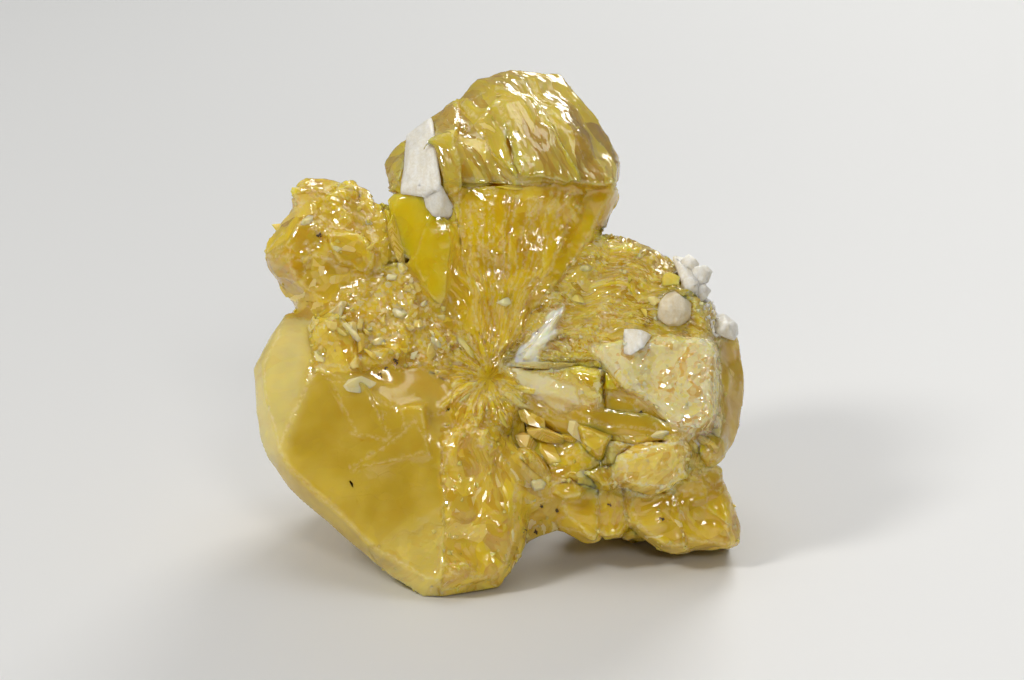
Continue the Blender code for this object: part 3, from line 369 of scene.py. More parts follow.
def frontDepth(tree):  # how deep the face lies, over a grid
    across = np.arange(*frontGrid["u"], crystal["gridStep"]).tolist()
    up = np.arange(*frontGrid["v"], crystal["gridStep"]).tolist()
    hits = [meetFace(tree, u, v) for u in across for v in up]
    missed = np.array([hit is None for hit in hits]).reshape(len(across), len(up))
    depth = toFace([hit or (0, 0, 0) for hit in hits])[2].reshape(missed.shape)
    return np.where(missed, crystal["noFace"], depth)


def fillGaps(bm):  # the gaps between crystals on the face come nearly up to the crystals beside them
    cells, noFace = crystal["gapWidth"] / crystal["gridStep"], crystal["noFace"]
    depth = frontDepth(BVHTree.FromBMesh(bm))
    deepest = spread(np.where(depth == noFace, -noFace, depth), 2.3, np.maximum)
    level = spread(spread(depth, cells, np.minimum), cells + 1.2, np.maximum)
    known = (level < noFace).astype(float)
    total, count = np.zeros_like(level), np.zeros_like(level)
    for i, j in [(i, j) for i in (-2, -1, 0, 1, 2) for j in (-2, -1, 0, 1, 2)]:
        total += np.roll(level * known, (i, j), axis=(0, 1))
        count += np.roll(known, (i, j), axis=(0, 1))
    level = np.where(known > 0, total / np.maximum(count, 1), noFace)

    u, v, d = toFace([vert.co for vert in bm.verts])
    facing = -np.array([vert.normal for vert in bm.verts]) @ np.array(intoAxis)
    bottom, to = gridValue(deepest, u, v), gridValue(level, u, v)
    share = smooth(*crystal["gapDeep"], bottom - to) * (1 - smooth(*crystal["gapBehind"], d - bottom))
    share = share * smooth(*crystal["gapFacing"], facing)
    lift = crystal["gapFill"] * share * np.maximum(d - to, 0)
    for vert, far in zip(bm.verts, lift):
        vert.co -= intoAxis * float(far * mm)
    bmesh.ops.dissolve_degenerate(bm, dist=crystal["shortEdge"] * mm, edges=bm.edges)
    bmesh.ops.triangulate(bm, faces=[f for f in bm.faces if len(f.verts) > 3])
    bm.verts.index_update()


def denseCrystal():
    bm = bmesh.new()
    bm.from_mesh(frame["nodes"]["sphalerite_cluster"].data)
    bmesh.ops.remove_doubles(bm, verts=bm.verts, dist=0.002 * mm)
    bmesh.ops.dissolve_limit(bm, angle_limit=math.radians(0.5), verts=bm.verts, edges=bm.edges)
    bmesh.ops.triangulate(bm, faces=bm.faces)
    for edge in bm.edges:  # marks the edges that stand proud, for the nicks and pale rims later
        edge.seam = edge.is_manifold and edge.calc_face_angle_signed(0) > crystal["sharp"]
    coarser = 1.0
    front, back = crystal["frontEdge"] * coarser * mm, crystal["backEdge"] * coarser * mm

    def longest(edge):  # fine where the face looks forward, coarse behind
        facing = max([-f.normal.dot(intoAxis) for f in edge.link_faces] or [0])
        return back + (front - back) * min(max((facing + 0.3) * 2.5, 0), 1)

    splitLongEdges(bm, front, longest)
    bm.normal_update()
    print("crystal mesh before the gaps:", len(bm.faces), "faces")
    fillGaps(bm)
    print("crystal mesh after the gaps:", len(bm.faces), "faces")
    stretch = crystal["stretch"]
    splitLongEdges(bm, stretch * front, lambda edge: stretch * longest(edge))
    bm.verts.index_update()
    bm.normal_update()
    print("dense crystal mesh:", len(bm.faces), "faces")
    return bm


def dress(mesh, mixed, colour, grain, flow):  # the values of the zones, for the material and the growths
    for name, numbers in mixed.items():
        mesh.attributes.new(name, "FLOAT", "POINT").data.foreach_set("value", numbers.astype(np.float32))
    for name, rows in (("grain", grain), ("flow", flow)):
        layer = mesh.attributes.new(name, "FLOAT_VECTOR", "POINT")
        layer.data.foreach_set("vector", rows.astype(np.float32).ravel())
    rgba = np.column_stack([colour, np.ones(len(colour))]).astype(np.float32)
    mesh.attributes.new("zoneColour", "FLOAT_COLOR", "POINT").data.foreach_set("color", rgba.ravel())


def crystalMesh():
    bm = denseCrystal()
    start = np.array([v.co for v in bm.verts])
    edges = np.array([[v.index for v in e.verts] for e in bm.edges])
    feet = smooth(*crystal["feet"], start[:, 2] / mm)[:, None]  # the feet stay flat on the floor
    u, v, d = toFace(start)
    mixed, colour, grain, flow = zoneValues(u, v, d)
    proudEdge = np.array([float(any(e.seam for e in vert.link_edges)) for vert in bm.verts])
    # pale rims on proud edges: worn, chipped edges and a painted edge highlight
    rim = proudEdge * mixed.pop("rim")

    starts = [v.co.copy() for v in bm.verts]
    # painted shade: how shut in each point is, to deepen its colour to amber
    hollowShade = hollows(BVHTree.FromBMesh(bm), starts, [v.normal.copy() for v in bm.verts])
    points = start.copy()
    for plate in plates:
        depth, perU, perV = plate["face"]
        proud = depth + perU * (u - face["hub"][0]) + perV * (v - face["hub"][1]) - d
        sink = plate["sink"] * inside(plate["outline"], u, v, 0.8) * np.maximum(proud, 0)
        points += np.outer(sink * mm, intoAxis)
    for often, far in crystal["wander"]:
        way = np.array([noise.noise_vector(Vector(co) * often / mm) for co in start])
        points += way * (far * mm * mixed["wander"])[:, None]
    rounds = crystal["meltRounds"] // 1
    points = start + (melted(points, edges, np.clip(mixed["melt"], 0, 1), rounds) - start) * feet
    for vert, co in zip(bm.verts, points):
        vert.co = co
    bm.normal_update()

    normals = [vert.normal.copy() for vert in bm.verts]
    for i, vert in enumerate(bm.verts):
        lift = crystal["chipUp"] * mixed["chips"][i] * chipHeight(Vector(grain[i]) * crystal["chipGroup"])
        nick = crystal["edgeNick"] * proudEdge[i] * max(0.0, noise.noise(start[i] / mm * 0.9) + 0.25)
        vert.co += normals[i] * float((lift - nick) * feet[i, 0] * mm)
    for edge in bm.edges:
        edge.seam = False
    for f in bm.faces:
        f.smooth = True
    mesh = bpy.data.meshes.new("sphaleriteCrystals")
    bm.to_mesh(mesh)
    bm.free()
    mesh.set_sharp_from_angle(angle=crystal["sharp"])
    dress(mesh, {**mixed, "rim": rim, "hollowShade": hollowShade}, colour, grain, flow)
    return mesh


class Value:  # a node's output, so that sums and products of it add their Math nodes
    def __init__(self, tree, socket):
        self.tree, self.socket = tree, socket

    def also(self, name):  # another output of the same node
        return Value(self.tree, self.socket.node.outputs[name])

    def math(self, operation, *others):
        node = self.tree.nodes.new("ShaderNodeMath")
        node.operation = operation
        for slot, item in zip(node.inputs, (self, *others)):
            plug(self.tree, slot, item)
        return Value(self.tree, node.outputs[0])

    def __add__(self, other):
        return self.math("ADD", other)

    def __radd__(self, other):
        return self.math("ADD", other)

    def __sub__(self, other):
        return self.math("SUBTRACT", other)

    def __rsub__(self, other):
        return (self * -1).math("ADD", other)

    def __mul__(self, other):
        return self.math("MULTIPLY", other)

    def __rmul__(self, other):
        return self.math("MULTIPLY", other)


def plug(tree, slot, item):
    if isinstance(item, Value):
        tree.links.new(item.socket, slot)
    elif slot.type == "RGBA":
        slot.default_value = (*item, 1.0)
    else:
        slot.default_value = item


class Shader:
    def __init__(self, owner, end="ShaderNodeOutputMaterial"):  # the owner is a material or a world
        self.owner = owner
        owner.use_nodes = True
        self.tree = owner.node_tree
        self.tree.nodes.clear()
        self.end = self.tree.nodes.new(end)

    def node(self, kind, settings=None, sockets=None, out=0):
        made = self.tree.nodes.new(kind)
        for key, setting in (settings or {}).items():
            setattr(made, key, setting)
        for key, item in (sockets or {}).items():
            plug(self.tree, made.inputs[key], item)
        return Value(self.tree, made.outputs[out])

    def attribute(self, name, out="Fac"):
        return self.node("ShaderNodeAttribute", {"attribute_name": name}, out=out)

    def vector(self, operation, sockets, out="Vector"):
        return self.node("ShaderNodeVectorMath", {"operation": operation}, sockets, out)

    def noise(self, vector, scale, detail=2.0, rough=0.5):
        sockets = {"Vector": vector, "Scale": scale, "Detail": detail, "Roughness": rough}
        return self.node("ShaderNodeTexNoise", None, sockets)

    def remap(self, value, low, high, toLow=0.0, toHigh=1.0):
        sockets = {"Value": value, "From Min": low, "From Max": high, "To Min": toLow, "To Max": toHigh}
        return self.node("ShaderNodeMapRange", {"interpolation_type": "SMOOTHSTEP"}, sockets)

    def mixColour(self, factor, a, b):
        return self.node("ShaderNodeMix", {"data_type": "RGBA"}, {0: factor, 6: a, 7: b}, out=2)

    def bump(self, height):  # the height is in millimetres
        return self.node("ShaderNodeBump", None, {"Height": height * mm, "Strength": 1.0, "Distance": 1.0})

    def place(self):  # millimetres from the hub
        rel = self.vector("SUBTRACT", {0: self.node("ShaderNodeTexCoord", out="Object"), 1: hubPlace})
        return self.vector("SCALE", {0: rel, "Scale": 1 / mm})

    def chips(self, place, dimensions="2D"):  # the height and shade of flat chips that are one unit across
        cell = self.node("ShaderNodeTexVoronoi", {"feature": "F1", "voronoi_dimensions": dimensions},
                         {"Vector": place, "Scale": 1.0}, out="Position")
        tilt = self.vector("SUBTRACT", {0: cell.also("Color"), 1: (0.5, 0.5, 0.5)})
        away = self.vector("SUBTRACT", {0: place, 1: cell})
        height = self.vector("DOT_PRODUCT", {0: away, 1: tilt}, out="Value")
        shade = self.vector("DOT_PRODUCT", {0: cell.also("Color"), 1: (0.0, 1.0, 0.0)}, out="Value")
        return height, shade


crystalLook = {
    "ior": 2.37,
    "absorbColour": (0.985, 0.88, 0.08),
    "absorbDensity": 190.0,
    "cloudIor": 1.7,
    "scatterRadius": (1.0, 0.85, 0.15),
    "scatterScale": 0.0016,
    "amberShade": (0.76, 0.42, 0.003),  # painted shade: down in the hollows and on the darker chips
    # painted internal reflection, on the brighter chips
    "glow": (0.96, 0.73, 0.01),
    "cloud": (0.88, 0.72, 0.16),
    "pale": (0.91, 0.75, 0.38),  # on frosted flakes, and as painted glints on their ridges
    "rim": (0.94, 0.84, 0.55),  # on worn edges, partly a painted edge highlight
    "clearTint": (1.0, 0.96, 0.80),
    "morePale": 0.0,  # 0 for none, and more for more of the shards pale
    "fineScale": 2.6,  # speckles in one millimetre
    "cloudScale": 0.17,
    "largeChip": 0.65,  # heights of the chips in the bump, in millimetres
    "smallChip": 0.3,
    "smallScale": 3.4,  # how many times smaller the small chips are
    "gloss": (0.04, 0.2),  # roughness of the smoothest chips and of the roughest
}


def crystalMaterial(name, look):
    s = Shader(bpy.data.materials.new(name))
    place, grain = s.place(), s.attribute("grain", "Vector")
    milk, chips, flakesAndGlints = s.attribute("milk"), s.attribute("chips"), s.attribute("flakesAndGlints")
    rim, hollowShade, zoneColour = s.attribute("rim"), s.attribute("hollowShade"), s.attribute("zoneColour", "Color")
    fine = s.noise(place, look["fineScale"], 3.0, 0.6)
    cloud = s.noise(place, look["cloudScale"], 2.0, 0.55)
    large, largeShade = s.chips(grain)
    small, smallShade = s.chips(s.vector("SCALE", {0: grain, "Scale": look["smallScale"]}))

    normal = s.bump((large * look["largeChip"] + small * look["smallChip"]) * chips)
    # pale frosted flakes, which also stand for painted glints on ridges
    flakeAndGlint = s.remap(smallShade + flakesAndGlints, 1.0, 1.04) + s.remap(largeShade + flakesAndGlints, 1.0, 1.04) * 0.4
    flakeAndGlint = flakeAndGlint + look["morePale"] * s.remap(smallShade, 0.6 - look["morePale"], 0.65 - look["morePale"])
    # pale rims on proud edges, partly wear and partly a painted edge highlight
    wornAndGlint = rim * s.remap(fine, 0.36, 0.62)
    pale = (flakeAndGlint + wornAndGlint * 0.5).math("MINIMUM", 1.0)
    # milky in the clouds and where it is frosted, clearer in the hollows
    milky = milk + (cloud - 0.5) * 0.5 + pale * 0.5 + (largeShade - 0.5) * chips * 0.25 - hollowShade * 0.1
    milky = milky.math("MAXIMUM", 0.05).math("MINIMUM", 1.0)
    # each chip has a tone of its own, from deep amber to bright yellow: painted shade and painted internal
    # reflections
    tone = largeShade * 0.6 + smallShade * 0.4
    toned = chips.math("MINIMUM", 1.0)
    body = s.mixColour(s.remap(cloud, 0.44, 0.62) * 0.3, zoneColour, look["cloud"])
    # painted shade: deep amber in the hollows and on the darker chips
    body = s.mixColour(s.remap(tone, 0.45, 0.15) * toned * 0.7 + hollowShade * 0.6, body, look["amberShade"])
    body = s.mixColour(s.remap(tone, 0.55, 0.8) * toned * 0.5, body, look["glow"])
    body = s.mixColour(pale * 0.75, body, look["pale"])
    body = s.mixColour((wornAndGlint * 0.7).math("MINIMUM", 1.0), body, look["rim"])
    tint = s.mixColour(0.5, look["clearTint"], body)
    gloss = s.remap(smallShade, 0.0, 1.0, *look["gloss"]) + pale * 0.15

    clear = s.node("ShaderNodeBsdfPrincipled", None, {
        "Base Color": tint, "Roughness": gloss, "Normal": normal, "IOR": look["ior"],
        "Transmission Weight": 1.0})
    cloudy = s.node("ShaderNodeBsdfPrincipled", {"subsurface_method": "RANDOM_WALK"}, {
        "Base Color": body, "Roughness": gloss, "Normal": normal, "IOR": look["cloudIor"],
        "Subsurface Weight": 1.0, "Subsurface Radius": look["scatterRadius"],
        "Subsurface Scale": look["scatterScale"]})
    both = s.node("ShaderNodeMixShader", None, {0: milky, 1: clear, 2: cloudy})
    plug(s.tree, s.end.inputs["Surface"], both)
    absorb = s.node("ShaderNodeVolumeAbsorption", None, {
        "Color": look["absorbColour"], "Density": look["absorbDensity"]})
    plug(s.tree, s.end.inputs["Volume"], absorb)
    return s.owner


def link(mesh, name):
    obj = bpy.data.objects.new(name, mesh)
    bpy.context.scene.collection.objects.link(obj)
    return obj


def hullMesh(bm, name):  # the hulls of loose points, as a mesh
    bmesh.ops.delete(bm, geom=[v for v in bm.verts if not v.link_faces], context="VERTS")
    bmesh.ops.recalc_face_normals(bm, faces=bm.faces)
    mesh = bpy.data.meshes.new(name)
    bm.to_mesh(mesh)
    bm.free()
    return mesh


def anyWay(rng):
    return Vector([rng.gauss(0, 1) for _ in range(3)]).normalized()


def shardShape(name, rng, half, points):  # one broken crystal, with a half length of 1 mm for a shape of 1
    bm = bmesh.new()
    for _ in range(points):
        way = anyWay(rng) * rng.uniform(0.75, 1.0)
        bm.verts.new([a * b * mm for a, b in zip(way, half)])
    bmesh.ops.convex_hull(bm, input=bm.verts)
    return bpy.data.objects.new(name, hullMesh(bm, name))


def growTree(shapes, material):  # Geometry Nodes that grow shards over a surface, along its flow
    tree = bpy.data.node_groups.new("grow shards", "GeometryNodeTree")
    tree.interface.new_socket("Surface", in_out="INPUT", socket_type="NodeSocketGeometry")
    tree.interface.new_socket("Where", in_out="INPUT", socket_type="NodeSocketString")
    for name in ("Smallest", "Largest", "Tumble"):
        tree.interface.new_socket(name, in_out="INPUT", socket_type="NodeSocketFloat")
    tree.interface.new_socket("Seed", in_out="INPUT", socket_type="NodeSocketInt")
    tree.interface.new_socket("Shards", in_out="OUTPUT", socket_type="NodeSocketGeometry")

    def node(kind, settings=None, **sockets):
        made = tree.nodes.new(kind)
        for key, setting in (settings or {}).items():
            setattr(made, key, setting)
        for key, item in sockets.items():
            slot = made.inputs[key.replace("_", " ")]
            if isinstance(item, bpy.types.NodeSocket):
                tree.links.new(item, slot)
            else:
                slot.default_value = item
        return made

    given = tree.nodes.new("NodeGroupInput").outputs
    density = node("GeometryNodeInputNamedAttribute", {"data_type": "FLOAT"}, Name=given["Where"])
    perMetre = node("ShaderNodeMath", {"operation": "MULTIPLY"})
    tree.links.new(density.outputs["Attribute"], perMetre.inputs[0])
    perMetre.inputs[1].default_value = 1 / mm ** 2
    points = node("GeometryNodeDistributePointsOnFaces", Mesh=given["Surface"], Density=perMetre.outputs[0],
                  Seed=given["Seed"])
    plainChips = node("GeometryNodeStoreNamedAttribute", {"data_type": "FLOAT", "domain": "POINT"},
                      Geometry=points.outputs["Points"], Name="chips", Value=0.1)
    flow = node("GeometryNodeInputNamedAttribute", {"data_type": "FLOAT_VECTOR"}, Name="flow")
    along = node("FunctionNodeAlignRotationToVector", {"axis": "X", "pivot_axis": "Z"},
                 Rotation=points.outputs["Rotation"], Vector=flow.outputs["Attribute"])
    lowTurn = node("ShaderNodeMath", {"operation": "MULTIPLY"})
    tree.links.new(given["Tumble"], lowTurn.inputs[0])
    lowTurn.inputs[1].default_value = -1.0
    turns = node("FunctionNodeRandomValue", {"data_type": "FLOAT_VECTOR"}, Seed=given["Seed"])
    tree.links.new(lowTurn.outputs[0], turns.inputs[0])
    tree.links.new(given["Tumble"], turns.inputs[1])
    tumbled = node("FunctionNodeRotateRotation", {"rotation_space": "LOCAL"},
                   Rotation=along.outputs["Rotation"], Rotate_By=turns.outputs[0])
    size = node("FunctionNodeRandomValue", {"data_type": "FLOAT"}, Seed=given["Seed"])
    tree.links.new(given["Smallest"], size.inputs[2])
    tree.links.new(given["Largest"], size.inputs[3])
    kinds = node("GeometryNodeCollectionInfo", None, Collection=shapes, Separate_Children=True,
                 Reset_Children=True)
    placed = node("GeometryNodeInstanceOnPoints", None, Points=plainChips.outputs["Geometry"],
                  Instance=kinds.outputs["Instances"], Pick_Instance=True,
                  Rotation=tumbled.outputs["Rotation"], Scale=size.outputs[1])
    real = node("GeometryNodeRealizeInstances", None, Geometry=placed.outputs["Instances"])
    flat = node("GeometryNodeSetShadeSmooth", None, Geometry=real.outputs["Geometry"], Shade_Smooth=False)
    painted = node("GeometryNodeSetMaterial", None, Geometry=flat.outputs["Geometry"], Material=material)
    result = tree.nodes.new("NodeGroupOutput")
    tree.links.new(painted.outputs["Geometry"], result.inputs["Shards"])
    return tree


# Where each grows is an attribute of the crystal's mesh, and the sizes are in units of its shape.
growths = [
    {"name": "rubbleShards", "slot": "sphalerite", "where": "shards", "shape": (1.0, 0.7, 0.5),
     "points": 10, "smallest": 0.5, "largest": 1.5, "tumble": 1.2, "seed": 3},
    {"name": "sugarCrystals", "slot": "sphalerite", "where": "sugar", "shape": (1.0, 0.8, 0.6),
     "points": 10, "smallest": 0.14, "largest": 0.42, "tumble": 1.0, "seed": 5},
    {"name": "hubNeedles", "slot": "sphalerite", "where": "needles", "shape": (1.0, 0.24, 0.18),
     "points": 12, "smallest": 0.9, "largest": 2.2, "tumble": 0.12, "seed": 8},
    {"name": "whiteSugar", "slot": "calcite", "where": "whiteSugar", "shape": (1.0, 0.85, 0.7),
     "points": 10, "smallest": 0.16, "largest": 0.5, "tumble": 1.4, "seed": 11},
]


def grow(growth, surface, material):
    rng = random.Random(growth["seed"])
    shapes = bpy.data.collections.new(growth["name"])
    for kind in range(4):
        shapes.objects.link(shardShape(growth["name"] + str(kind), rng, growth["shape"], growth["points"]))
    tree = growTree(shapes, material)
    piece = link(surface.copy(), growth["name"])
    modifier = piece.modifiers.new("grow", "NODES")
    modifier.node_group = tree
    sockets = {item.name: item.identifier for item in tree.interface.items_tree if item.in_out == "INPUT"}
    for name in ("Where", "Smallest", "Largest", "Tumble", "Seed"):
        modifier[sockets[name]] = growth[name.lower()]
    bpy.context.view_layer.update()
    grown = bpy.data.meshes.new_from_object(piece.evaluated_get(bpy.context.evaluated_depsgraph_get()))
    piece.modifiers.clear()
    piece.data = grown
    for shape in list(shapes.objects):
        bpy.data.objects.remove(shape)
    bpy.data.collections.remove(shapes)
    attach(piece, "root")
    print(growth["name"], len(grown.polygons), "faces")


brokenCrystals = {
    # in the deep pockets: place as u, v and d, half lengths, and the turn in the face
    "pockets": [
        ((5.4, 16.6, 7.6), (2.4, 1.1, 1.2), -0.35), ((6.2, 14.2, 8.0), (2.0, 1.3, 1.2), -0.7),
        ((8.0, 13.0, 8.4), (1.6, 1.2, 1.1), 0.3), ((3.6, 15.2, 7.6), (1.3, 1.6, 1.0), 0.5),
        ((20.6, 14.2, 7.4), (1.8, 1.2, 1.4), 0.8), ((21.6, 15.4, 7.2), (1.5, 1.0, 1.1), -0.5),
        ((10.8, 13.4, 7.0), (1.7, 1.0, 1.0), 0.9), ((-5.6, 39.4, 8.2), (1.2, 1.2, 0.9), 0.4),
        ((5.8, 23.4, 7.2), (4.6, 0.6, 0.8), -0.04), ((11.5, 21.4, 7.1), (0.8, 2.0, 0.8), 0.1),
        ((-9.4, 35.8, 7.3), (0.7, 3.0, 0.9), 0.25), ((-1.6, 41.2, 7.1), (2.4, 0.4, 0.7), 0.0),
        ((2.4, 41.1, 6.7), (2.2, 0.4, 0.7), 0.03), ((9.0, 15.6, 7.8), (2.6, 0.9, 1.0), -0.3),
        ((4.2, 17.9, 7.4), (1.8, 0.9, 0.9), -0.6), ((-9.6, 33.4, 8.4), (0.6, 1.4, 0.8), 0.5),
        ((-3.6, 41.3, 7.0), (1.4, 0.4, 0.7), 0.1), ((6.4, 13.0, 8.0), (1.8, 0.8, 1.1), 0.2),
    ],
    # frosted ones on the face: place as u and v, half lengths, and the turn
    "face": [
        ((-15.6, 28.5), (1.7, 0.9, 0.5), 0.9), ((-9.7, 32.1), (0.8, 0.5, 0.4), 0.3),
        ((-9.0, 28.5), (0.9, 0.6, 0.4), -0.4), ((-6.7, 29.4), (0.6, 0.3, 0.3), 0.6),
        ((-11.0, 25.3), (1.2, 0.8, 0.4), -0.2), ((-14.0, 26.6), (1.4, 0.7, 0.4), -0.7),
        ((-12.3, 37.5), (0.6, 0.4, 0.3), 0.0), ((-18.3, 37.6), (0.9, 0.6, 0.4), 0.8),
        ((-15.2, 35.0), (0.6, 0.4, 0.3), -0.5), ((-13.0, 21.4), (1.7, 0.9, 0.4), 0.1),
        ((-5.4, 25.6), (0.8, 0.4, 0.3), -0.8), ((-7.6, 24.2), (0.8, 0.5, 0.3), 0.5),
        ((1.4, 29.6), (0.9, 0.5, 0.3), 0.2), ((9.6, 33.0), (0.7, 0.5, 0.3), 0.0),
        ((8.8, 16.6), (1.6, 1.0, 0.4), -1.0), ((17.6, 16.4), (1.6, 0.5, 0.4), 0.1),
        ((22.4, 16.4), (0.9, 0.6, 0.4), 1.0), ((4.8, 11.4), (0.9, 0.8, 0.4), 0.4),
    ],
    "sunk": 0.1,  # how far the middle of a frosted one lies behind the face
    "points": 14,
    "seed": 23,
}


def layCrystals(name, crystals, material):
    rng = random.Random(brokenCrystals["seed"])
    bm = bmesh.new()
    for place, half, turn in crystals:
        verts = []
        for _ in range(brokenCrystals["points"]):
            x, y, z = [a * b for a, b in zip(anyWay(rng), half)]
            across, up = x * math.cos(turn) - y * math.sin(turn), x * math.sin(turn) + y * math.cos(turn)
            verts.append(bm.verts.new(fromFace(place[0] + across, place[1] + up, place[2] + z)))
        bmesh.ops.convex_hull(bm, input=verts)
    mesh = hullMesh(bm, name)
    mixed, colour, grain, flow = zoneValues(*toFace([v.co for v in mesh.vertices]))
    plain = np.zeros(len(mesh.vertices))
    dress(mesh, {**mixed, "rim": plain, "hollowShade": plain}, colour, grain, flow)
    mesh.materials.append(material)
    piece = link(mesh, name)
    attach(piece, "root")


specks = {
    "places": [(-17.0, 36.2), (-9.5, 23.8), (-11.0, 22.3), (-10.4, 23.0), (5.0, 9.3), (6.8, 8.8),
               (12.0, 9.3), (15.0, 18.6), (17.0, 7.8), (3.6, 6.8), (4.6, 6.6)],  # u and v
    "grains": 3,  # at each place
    "scatter": 0.2,  # how far they lie from it
    "points": 9,
    "lump": 0.6,  # how far the points of a grain lie from its middle, for a size of 1
    "colour": (0.035, 0.022, 0.012),
    "brown": (0.10, 0.06, 0.02),
    "size": (0.08, 0.24),
    "seed": 17,
}


def darkSpecks(surface):  # small dark grains on the face
    rng, scatter, lump = random.Random(specks["seed"]), specks["scatter"], specks["lump"]
    dark = Shader(bpy.data.materials.new("dark specks"))
    tone = dark.mixColour(dark.noise(dark.place(), 3.0), specks["colour"], specks["brown"])
    shader = dark.node("ShaderNodeBsdfPrincipled", None, {"Base Color": tone, "Roughness": 0.5})
    plug(dark.tree, dark.end.inputs["Surface"], shader)
    bm = bmesh.new()
    bm.from_mesh(surface)
    tree = BVHTree.FromBMesh(bm)
    bm.clear()
    for u, v in specks["places"]:
        for _ in range(specks["grains"]):
            near = fromFace(u + rng.gauss(0, scatter), v + rng.gauss(0, scatter), -15)
            hit = tree.ray_cast(near, fromFace(u, v, 45) - near)[0]
            size = rng.uniform(*specks["size"])
            if hit is None:
                continue
            verts = []
            for _ in range(specks["points"]):
                away = Vector([rng.gauss(0, lump) for _ in range(3)])
                verts.append(bm.verts.new(hit + away * size * mm))
            bmesh.ops.convex_hull(bm, input=verts)
    mesh = hullMesh(bm, "darkSpecks")
    piece = link(mesh, "darkSpecks")
    mesh.materials.append(dark.owner)
    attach(piece, "root")


calciteLook = {
    "colour": (0.95, 0.92, 0.84),
    "shade": (0.84, 0.79, 0.66),
    "grain": 2.6,  # grains in one millimetre
    "swell": 0.26,  # how far the white pieces swell, to fill their pockets, in millimetres
    "lump": 0.05,
    "edge": 0.3,  # longest edge of their meshes
    "sharp": math.radians(35.0),
}
cloudedLook = {**calciteLook, "colour": (0.87, 0.79, 0.62), "shade": (0.80, 0.69, 0.46)}


def calciteMaterial(name, look):
    s = Shader(bpy.data.materials.new(name))
    place = s.place()
    grain, grainShade = s.chips(s.vector("SCALE", {0: place, "Scale": look["grain"]}), "3D")
    fine = s.noise(place, 4.0, 4.0, 0.65)
    streak = s.noise(s.vector("MULTIPLY", {0: place, 1: (2.2, 0.5, 0.5)}), 1.0, 3.0, 0.6)
    colour = s.mixColour(s.remap(fine * 0.5 + streak * 0.5, 0.38, 0.62), look["shade"], look["colour"])
    normal = s.bump(grain * 0.12 + (fine - 0.5) * 0.08 + (streak - 0.5) * 0.06)
    shader = s.node("ShaderNodeBsdfPrincipled", {"subsurface_method": "RANDOM_WALK"}, {
        "Base Color": colour, "Roughness": s.remap(grainShade, 0.0, 1.0, 0.3, 0.6), "Normal": normal,
        "IOR": 1.55, "Subsurface Weight": 0.6, "Subsurface Radius": (1.0, 0.95, 0.8),
        "Subsurface Scale": 0.0006})
    plug(s.tree, s.end.inputs["Surface"], shader)
    return s.owner


def calcitePiece(node, material):
    bm = bmesh.new()
    bm.from_mesh(frame["nodes"][node].data)
    bmesh.ops.remove_doubles(bm, verts=bm.verts, dist=0.002 * mm)
    bmesh.ops.triangulate(bm, faces=bm.faces)
    longest = calciteLook["edge"] * mm
    splitLongEdges(bm, longest, lambda edge: longest)
    bm.normal_update()
    moves = []
    for vert in bm.verts:
        p = vert.co / mm
        lump = 0.6 * noise.noise(p * 1.6) + 0.4 * noise.noise(p * 3.4)
        moves.append(vert.normal * (calciteLook["swell"] + calciteLook["lump"] * lump) * mm)
    for vert, move in zip(bm.verts, moves):
        vert.co += move
    for f in bm.faces:
        f.smooth = True
    mesh = bpy.data.meshes.new(node)
    bm.to_mesh(mesh)
    bm.free()
    mesh.set_sharp_from_angle(angle=calciteLook["sharp"])
    piece = link(mesh, node + "_look")
    piece.data.materials.append(material)
    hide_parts(node)
    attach(piece, "root")


studio = {
    "floor": (0.74, 0.74, 0.73),
    "floorHalf": 1.6,
    "cameraFrom": Vector((0.00135, -0.27702, 0.1112)),
    "cameraAt": Vector((0.00135, -0.00654, 0.02332)),
    "lens": 100.0,
    "sensor": 36.0,
    "lampsAt": (0, 0, 0.024),
    "sky": (0.92, 0.95, 1.0),
    "brightest": 0.26,  # behind and above
    "dimmest": 0.04,  # in front and below
    "lamps": [
        # name, place, size, watts, colour
        ("top", (0.0, 0.05, 0.70), 0.50, 1.15, (1.0, 0.99, 0.97)),
        ("key", (-0.34, -0.22, 0.42), 0.12, 1.3, (1.0, 0.98, 0.95)),
        ("front", (0.10, -0.46, 0.30), 0.12, 0.6, (1.0, 0.96, 0.93)),
        ("behind", (0.16, 0.46, 0.34), 0.25, 1.3, (1.0, 0.99, 0.96)),
    ],
}


def aim(obj, target):
    obj.rotation_euler = (Vector(target) - obj.location).to_track_quat("-Z", "Y").to_euler()


def buildFloor():
    half = studio["floorHalf"]
    mesh = bpy.data.meshes.new("floor")
    corners = [(-half, -half, 0), (half, -half, 0), (half, half, 0), (-half, half, 0)]
    mesh.from_pydata(corners, [], [(0, 1, 2, 3)])
    floor = link(mesh, "floor")
    s = Shader(bpy.data.materials.new("pale floor"))
    shader = s.node("ShaderNodeBsdfPrincipled", None, {"Base Color": studio["floor"], "Roughness": 0.55})
    plug(s.tree, s.end.inputs["Surface"], shader)
    mesh.materials.append(s.owner)


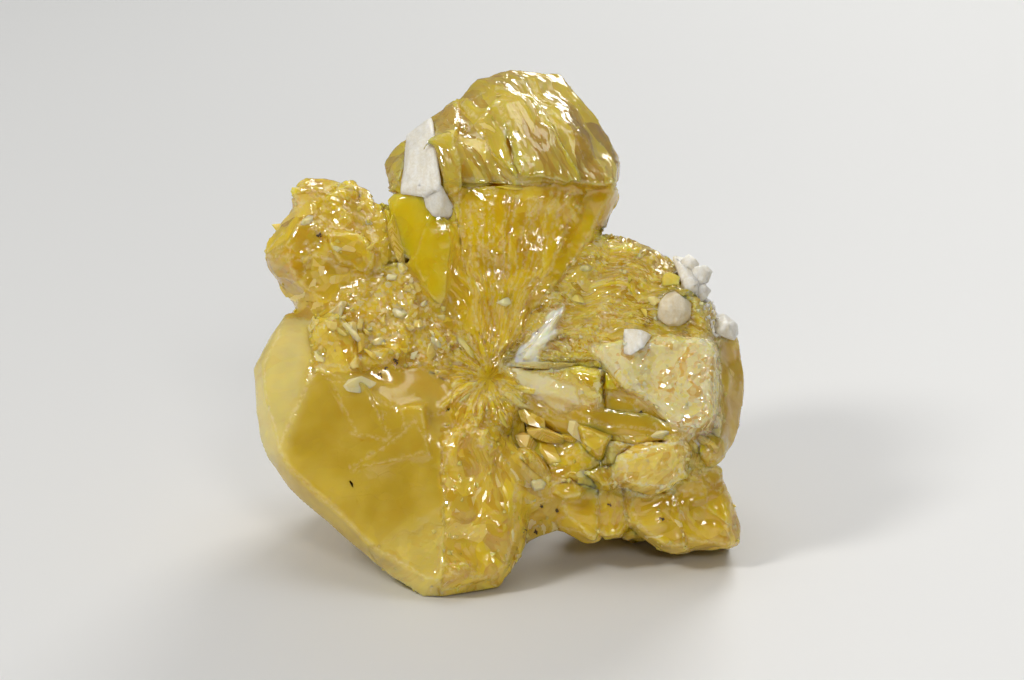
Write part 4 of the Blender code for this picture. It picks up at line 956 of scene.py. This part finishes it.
def buildLight():
    for name, place, size, watts, colour in studio["lamps"]:
        light = bpy.data.lights.new(name, "AREA")
        light.shape, light.size, light.energy, light.color = "DISK", size, watts, colour
        lamp = bpy.data.objects.new(name, light)
        bpy.context.scene.collection.objects.link(lamp)
        lamp.location = place
        aim(lamp, studio["lampsAt"])
    s = Shader(bpy.data.worlds.new("studio"), "ShaderNodeOutputWorld")
    way = s.node("ShaderNodeTexCoord", out="Generated")
    towards = s.vector("DOT_PRODUCT", {0: way, 1: (0.0, 0.7, 0.7)}, "Value")
    strength = s.remap(towards, -0.6, 0.9, studio["dimmest"], studio["brightest"])
    sky = s.node("ShaderNodeBackground", None, {"Color": studio["sky"], "Strength": strength})
    plug(s.tree, s.end.inputs["Surface"], sky)
    bpy.context.scene.world = s.owner


def buildCamera():
    camera = bpy.data.cameras.new("camera")
    camera.lens, camera.sensor_width = studio["lens"], studio["sensor"]
    eye = bpy.data.objects.new("camera", camera)
    bpy.context.scene.collection.objects.link(eye)
    eye.location = studio["cameraFrom"]
    aim(eye, studio["cameraAt"])
    bpy.context.scene.camera = eye
    bpy.context.scene.view_settings.view_transform = "Standard"


yellow = crystalMaterial("yellow sphalerite", crystalLook)
body = link(crystalMesh(), "sphaleriteCrystals")
body.data.materials.append(yellow)
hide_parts("sphalerite_cluster")
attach(body, "root")
print("crystal done")

# in small crystals the light scatters over a shorter way
shardLook = {**crystalLook, "scatterRadius": (1.0, 0.85, 0.3), "scatterScale": 0.0007, "morePale": 0.35}
yellowShards = crystalMaterial("yellow sphalerite shards", shardLook)
layCrystals("pocketCrystals", brokenCrystals["pockets"], yellowShards)
bodyTree = BVHTree.FromObject(body, bpy.context.evaluated_depsgraph_get())
frosted = []
for (u, v), half, turn in brokenCrystals["face"]:
    depth = float(toFace([meetFace(bodyTree, u, v)])[2][0])
    frosted.append(((u, v, depth + brokenCrystals["sunk"]), half, turn))
frostedLook = {**shardLook, "morePale": 0.9, "pale": (0.94, 0.80, 0.50)}
frostedShards = crystalMaterial("frosted sphalerite shards", frostedLook)
layCrystals("frostedShards", frosted, frostedShards)
white = calciteMaterial("white calcite", calciteLook)
for growth in growths:
    grow(growth, body.data, white if growth["slot"] == "calcite" else yellowShards)
darkSpecks(body.data)
print("growths done")

for node in ("white_band", "calcite_crust_upper", "calcite_crust_side", "calcite_patch"):
    calcitePiece(node, white)
calcitePiece("calcite_grain", calciteMaterial("clouded calcite", cloudedLook))
print("calcite done")

buildFloor()
buildLight()
buildCamera()
print("studio done")
